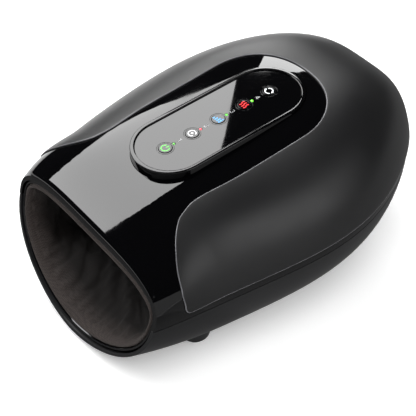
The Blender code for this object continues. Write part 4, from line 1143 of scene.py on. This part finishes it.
# %% Palm plate
# The mould's fine texture is about 2 mm from spot to spot.
silicone = solid_finish("moulded_silicone", "#3C3A39", "#302E2D", 420.0, 0.6)
low, high = (np.array(v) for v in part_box("palm_plate"))
knob_height, plate_rounding, rim_share = 1.8 * mm, 0.5 * mm, 0.985
outline, centre = rounded_outline(low, high, 10), (low + high) / 2
plate_top = high[2] - knob_height
dots = [(k * 0.6 * high[0], low[1] + (high[1] - low[1]) * (j + 0.5) / 4) for j in range(4) for k in (-1, 0, 1)]
plate_loops = [np.column_stack([centre[:2] + (outline - centre[:2]) * s, np.full(len(outline), z)]) for s, z in (
    (inmost, low[2]), (rim_share, low[2]), (1, low[2] + plate_rounding), (1, plate_top - plate_rounding),
    (rim_share, plate_top), (inmost, plate_top))]
dress("palm_sheet", solid_mesh("palm_sheet", plate_loops), silicone, "palm_plate", "palm_press", sharp=50)
knob_profile = in_mm([(4.5, -0.3), (4.4, 0.25), (4.0, 0.9), (3.1, 1.45), (1.8, 1.75)])
profile = [(r, plate_top + z) for r, z in knob_profile] + [(0.4 * mm, high[2])]
for k, dot in enumerate(dots):
    dress("palm_knob_%d" % (k + 1), solid_mesh("knob", turned_loops(profile, dot, 28)), silicone, None,
          "palm_press", sharp=60)
print("palm plate with", len(dots), "knobs")

# %% [markdown]
# ## Working parts
# The parts inside are right as solids, so they keep their shape and only get real materials:
# glass-filled nylon, zinc-plated steel, the solder-masked board, shrink-wrapped cells. Only the
# charging socket gets a finer shape, because it shows at the rear.
# %% Materials of the working parts
nylon = solid_finish("glass_filled_nylon", "#2F3031", "#26272A", 700.0, 0.55)
light_nylon = solid_finish("natural_nylon", "#C9C6BA", "#B5B1A4", 500.0, 0.5)
zinc_steel = solid_finish("zinc_plated_steel", "#B9BCC0", "#9DA1A6", 900.0, 0.3, metallic=1.0)
board_mask = solid_finish("solder_masked_fibreglass", "#1F6B3A", "#185530", 600.0, 0.35)
film_heater = solid_finish("polyimide_heating_film", "#B4702C", "#8E5420", 300.0, 0.4)
shrink_wrap = solid_finish("pvc_shrink_wrap", "#2C5C9E", "#244E88", 150.0, 0.35)
black_rubber = solid_finish("extruded_rubber", "#232323", "#191919", 500.0, 0.8)
black_abs = solid_finish("moulded_abs", "#1B1B1D", "#131315", 800.0, 0.4)
finishes = {
    "tunnel_frame": nylon, "palm_tray": nylon, "heating_mat": film_heater, "control_board": board_mask,
    "pump_motor": zinc_steel, "pump_eccentric": zinc_steel, "pump_head": black_abs, "pump_cradle": black_rubber,
    "air_manifold": light_nylon, "battery_holder": black_abs,
}
finishes.update({"key_switch_%d" % k: black_abs for k in range(1, 6)})
finishes.update({"%s_screw_%d" % (kind, k): zinc_steel for kind in ("board", "housing") for k in range(1, 5)})
finishes.update({"air_valve_%d" % k: zinc_steel for k in range(1, 4)})
finishes.update({"%s_tube" % kind: black_rubber for kind in ("supply", "hand", "finger", "palm")})
finishes.update({"battery_cell_%d" % k: shrink_wrap for k in (1, 2)})
for name, look in finishes.items():
    for place_in_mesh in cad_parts[name].material_slots:
        place_in_mesh.material = look
print("working parts with real materials:", len(finishes))

# %% Charging socket
# A drawn steel shell of oval section, open to the rear, with a thin contact tongue in its mouth.
socket_wall, socket_floor, lip_round = 0.7 * mm, (socket_high.y - socket_low.y) / 3, 0.2 * mm
tongue_half, tongue_thick, tongue_back = 2.9 * mm, 0.6 * mm, 1.2 * mm
shell_loops = [socket_loop(grow, y) for grow, y in (
    (0, socket_low.y), (0, socket_high.y - lip_round), (-lip_round, socket_high.y),
    (-socket_wall + lip_round / 2, socket_high.y), (-socket_wall, socket_high.y - lip_round),
    (-socket_wall, socket_low.y + socket_floor))]
dress("socket_shell", solid_mesh("socket_shell", shell_loops), zinc_steel, "charging_socket", sharp=50)
middle_z = (socket_low.z + socket_high.z) / 2
tongue_loops = [[(sx * tongue_half, y, middle_z + sz * tongue_thick / 2) for sx, sz in square]
                for y in (socket_low.y + socket_floor - 0.2 * mm, socket_high.y - tongue_back)]
dress("socket_tongue", solid_mesh("socket_tongue", tongue_loops), black_abs, None)
print("socket shell", round((socket_high.x - socket_low.x) / mm, 1), "mm wide")

# %% [markdown]
# ## Studio
# The photograph is a white packshot: a white floor with a faint shadow, one large soft box on the
# left that the gloss mirrors in sharp shapes, and a second one behind. Lamps could be moved by
# hand until the reflections look right. It is surer to draw a reflection's outline on the gloss
# and to throw it back along the mirrored lines of sight to where the lamp must stand.
# %% Floor and surroundings
floor_half, floor_drop, wall_light = 6, 0.2 * mm, 0.08
# Own light of the floor near the object, and the distances over which it rises to full white.
floor_light, rise_from, rise_to = 0.23, 0.45, 1.8


def white_rays(tree, plain, white):
    """A strength that is white for the camera, the gloss and the glass, and plain for the rest."""
    rays = add(tree, "ShaderNodeLightPath").outputs
    shown = rays["Is Camera Ray"]
    for other in ("Is Glossy Ray", "Is Transmission Ray"):
        shown = add(tree, "ShaderNodeMath", {0: shown, 1: rays[other]}, operation="MAXIMUM").outputs["Value"]
    return spread(tree, shown, plain, white)


floor_paint, tree = finish("matt_white_paint", "#F7F7F7", 0.9, specular_ior_level=0.1, emission_color=(1, 1, 1, 1))
# The floor shows a little brighter than it is lit, so that it is white and still holds the shadow. Further
# out the lamps reach it less, so there it gives more light of its own and runs into the white walls.
away = add(tree, "ShaderNodeVectorMath", {0: own_place(tree)}, operation="LENGTH").outputs["Value"]
# A paint roller leaves marks of about 8 mm.
roller = noise(tree, 120.0, 3.0)
drive(tree, emission_strength=white_rays(tree, 0.0, spread(tree, away, floor_light, 1.0, rise_from, rise_to)),
      normal=bumped(tree, roller, 0.05, 0.1 * mm))
floor_mesh = bpy.data.meshes.new("floor")
floor_mesh.from_pydata([(sx * floor_half, sy * floor_half, -floor_drop) for sx, sy in square], [], [[0, 1, 2, 3]])
floor_mesh.materials.append(floor_paint)
floor = bpy.data.objects.new("floor", floor_mesh)
bpy.context.scene.collection.objects.link(floor)

world = bpy.data.worlds.new("studio")
bpy.context.scene.world = world
world.use_nodes = True
ground = world.node_tree.nodes["Background"]
ground.inputs["Color"].default_value = (1, 1, 1, 1)
# White walls for the camera, the gloss and the glass; for plain light the walls are dim.
world.node_tree.links.new(white_rays(world.node_tree, wall_light, 1.0), ground.inputs["Strength"])
print("floor and studio walls set")


# %% Sheets that only the gloss sees
def stage_sheet(name, points, faces, strength, gloss_only=False):
    """Sheet that gives off an even light, kept out of the camera's view."""
    mesh = bpy.data.meshes.new(name)
    mesh.from_pydata([tuple(float(v) for v in p) for p in points], [], faces)
    cloth = bpy.data.materials.new(name + "_cloth")
    cloth.use_nodes = True
    cloth.node_tree.nodes.clear()
    light = add(cloth.node_tree, "ShaderNodeEmission", {"Color": (1, 1, 1, 1), "Strength": strength})
    add(cloth.node_tree, "ShaderNodeOutputMaterial", {"Surface": light.outputs["Emission"]})
    mesh.materials.append(cloth)
    sheet = bpy.data.objects.new(name, mesh)
    sheet.visible_camera = False
    if gloss_only:
        sheet.visible_diffuse = sheet.visible_shadow = sheet.visible_transmission = False
    bpy.context.scene.collection.objects.link(sheet)


def dome_points(turns, rises, radius):
    """Grid of points on a dome: a row for each row of rises, in radians."""
    turns, rises = np.broadcast_arrays(turns, rises)
    return np.stack([np.cos(turns) * np.cos(rises), np.sin(turns) * np.cos(rises), np.sin(rises)], -1) * radius


# A black velvet tent round the set, as packshot studios hang it for gloss: the mirror-like skin
# shows it as black, and it takes no light away from the rest.
tent_radius, cloth_reach, cloth_lift = 5, 1.5, 0.05 * mm
tent_turns = np.radians(np.linspace(0, 360, 32, endpoint=False))
tent_rises = np.radians([0.2, 12, 25, 40, 55, 70, 85])[:, None]
tent_points = dome_points(tent_turns, tent_rises, tent_radius).reshape(-1, 3)
tent_top = list(range(len(tent_points) - len(tent_turns), len(tent_points)))
tent_faces = grid_faces(len(tent_rises), len(tent_turns), around=True) + [tent_top]
stage_sheet("velvet_tent", tent_points, tent_faces, 0.02, gloss_only=True)
# Grey cloths lie in front and on the right in the same way, and keep the white floor out of the dark
# sides. On the left and behind, the floor stays bare: it is mirrored along the cover's far edge.
for label, first, last, strength in (("front", 205, 335, 0.22), ("right", 335, 485, 0.3)):
    edge = np.radians(np.linspace(first, last, 24))
    cloth_rows = [[r * math.cos(a), r * math.sin(a), cloth_lift] for r in (mm, cloth_reach) for a in edge]
    stage_sheet("grey_table_cloth_" + label, cloth_rows, grid_faces(2, len(edge)), strength, gloss_only=True)
print("tent hung")


# %% Lamps placed through their reflections
dome_middle = 90 * mm


def dome_sheet(name, low_line, high_line, strength, radius=1.35, rows=16):
    """Soft box on a dome round the object, between a lower and an upper outline.

    The outlines are pairs of azimuth and elevation in degrees, seen from the object.
    """
    low_line, high_line = np.array(low_line, float), np.array(high_line, float)
    even = np.linspace(low_line[0, 0], low_line[-1, 0], 80)
    turns = np.unique(np.concatenate([even, low_line[:, 0], high_line[:, 0]]))
    low, high = (np.interp(turns, line[:, 0], line[:, 1]) for line in (low_line, high_line))
    rises = np.radians(low + (high - low) * np.linspace(0, 1, rows)[:, None])
    points = dome_points(np.radians(turns), rises, radius) + (0, 0, dome_middle)
    stage_sheet(name, points.reshape(-1, 3), grid_faces(rows, len(turns)), strength)


dome_sheet("left_soft_box",
           [(143.9, 40.8), (148.3, 40.2), (150.7, 40.2), (151.9, 39.8), (152.7, 39.1), (153.3, 38.2), (154.4, 35.9),
            (155.5, 34.0), (156.8, 32.0), (158.2, 30.9), (160, 29.8), (162, 29.3), (167.9, 28.7), (171.9, 28.3),
            (177.3, 29.2), (184.9, 30.9), (195.9, 31), (206.4, 27.5), (214.9, 21), (220.2, 13.5), (224.6, 14.6),
            (227.3, 15.3), (230.4, 16.3), (233.4, 17.8)],
           [(143.9, 40.9), (144.6, 42.6), (145.3, 44.3), (145.7, 45.2), (148.5, 50), (151.5, 53.5), (156, 56.6),
            (163.7, 58.5), (168.7, 59.2), (173.8, 59.7), (179.3, 59.8), (188, 59.2), (197.3, 57.5), (206, 54.5),
            (211.5, 51.3), (216.9, 47.6), (221, 43.6), (224.4, 39.4), (227.6, 34), (230.3, 28.3), (232.1, 23.1),
            (233.4, 17.9)], 6.6)
dome_sheet("rear_soft_box",
           [(131.8, 27), (143.2, 27), (143.3, 32.2), (143.6, 34), (144, 35.5), (144.3, 36.9), (145, 38.9),
            (145.3, 39.7)],
           [(131.8, 38.3), (132.3, 38), (132.5, 37.4), (133.1, 36.9), (133.8, 37.1), (134.7, 37.7), (136, 38.9),
            (136.7, 39.4), (138.3, 40.2), (141, 40.6), (142.7, 40.5), (144.5, 40.1), (145.3, 39.8)], 9.5)
dome_sheet("low_rear_soft_box", [(138, 12), (156, 12)], [(138, 26), (156, 24)], 6.0)
# A grey card on the front right is mirrored in the dark side of the housing, up to a sharp edge.
dome_sheet("grey_card", [(268, -3), (374, -3)],
           [(268, 22), (270.7, 24.6), (278.2, 27.8), (286.7, 30.3), (296, 31.8), (305.9, 32.3), (315, 31.8),
            (324.7, 30.2), (340.2, 25.7), (352, 20.6), (359.7, 17), (374, 10)], 0.5, radius=1.3)
print("mirrored soft boxes placed")


# %% Lamps for plain light
def area_lamp(name, at, target, size, power, in_gloss=True):
    lamp = bpy.data.objects.new(name, bpy.data.lights.new(name, "AREA"))
    lamp.data.shape, lamp.data.size, lamp.data.size_y, lamp.data.energy = "RECTANGLE", size[0], size[1], power
    way = Vector(target) - Vector(at)
    lamp.matrix_world = Matrix.Translation(at) @ way.to_track_quat("-Z", "Y").to_matrix().to_4x4()
    lamp.visible_camera = False
    lamp.visible_glossy = in_gloss
    bpy.context.scene.collection.objects.link(lamp)


area_lamp("overhead_soft_box", (0.85, -0.55, 2.45), (0, 0, 0), (2.0, 2.0), 54, in_gloss=False)
area_lamp("right_soft_box", (1.3, 0.38, 1.1), (0, 0, 0.06), (0.8, 1.1), 6.9)
print("lamps placed")

bpy.context.view_layer.update()
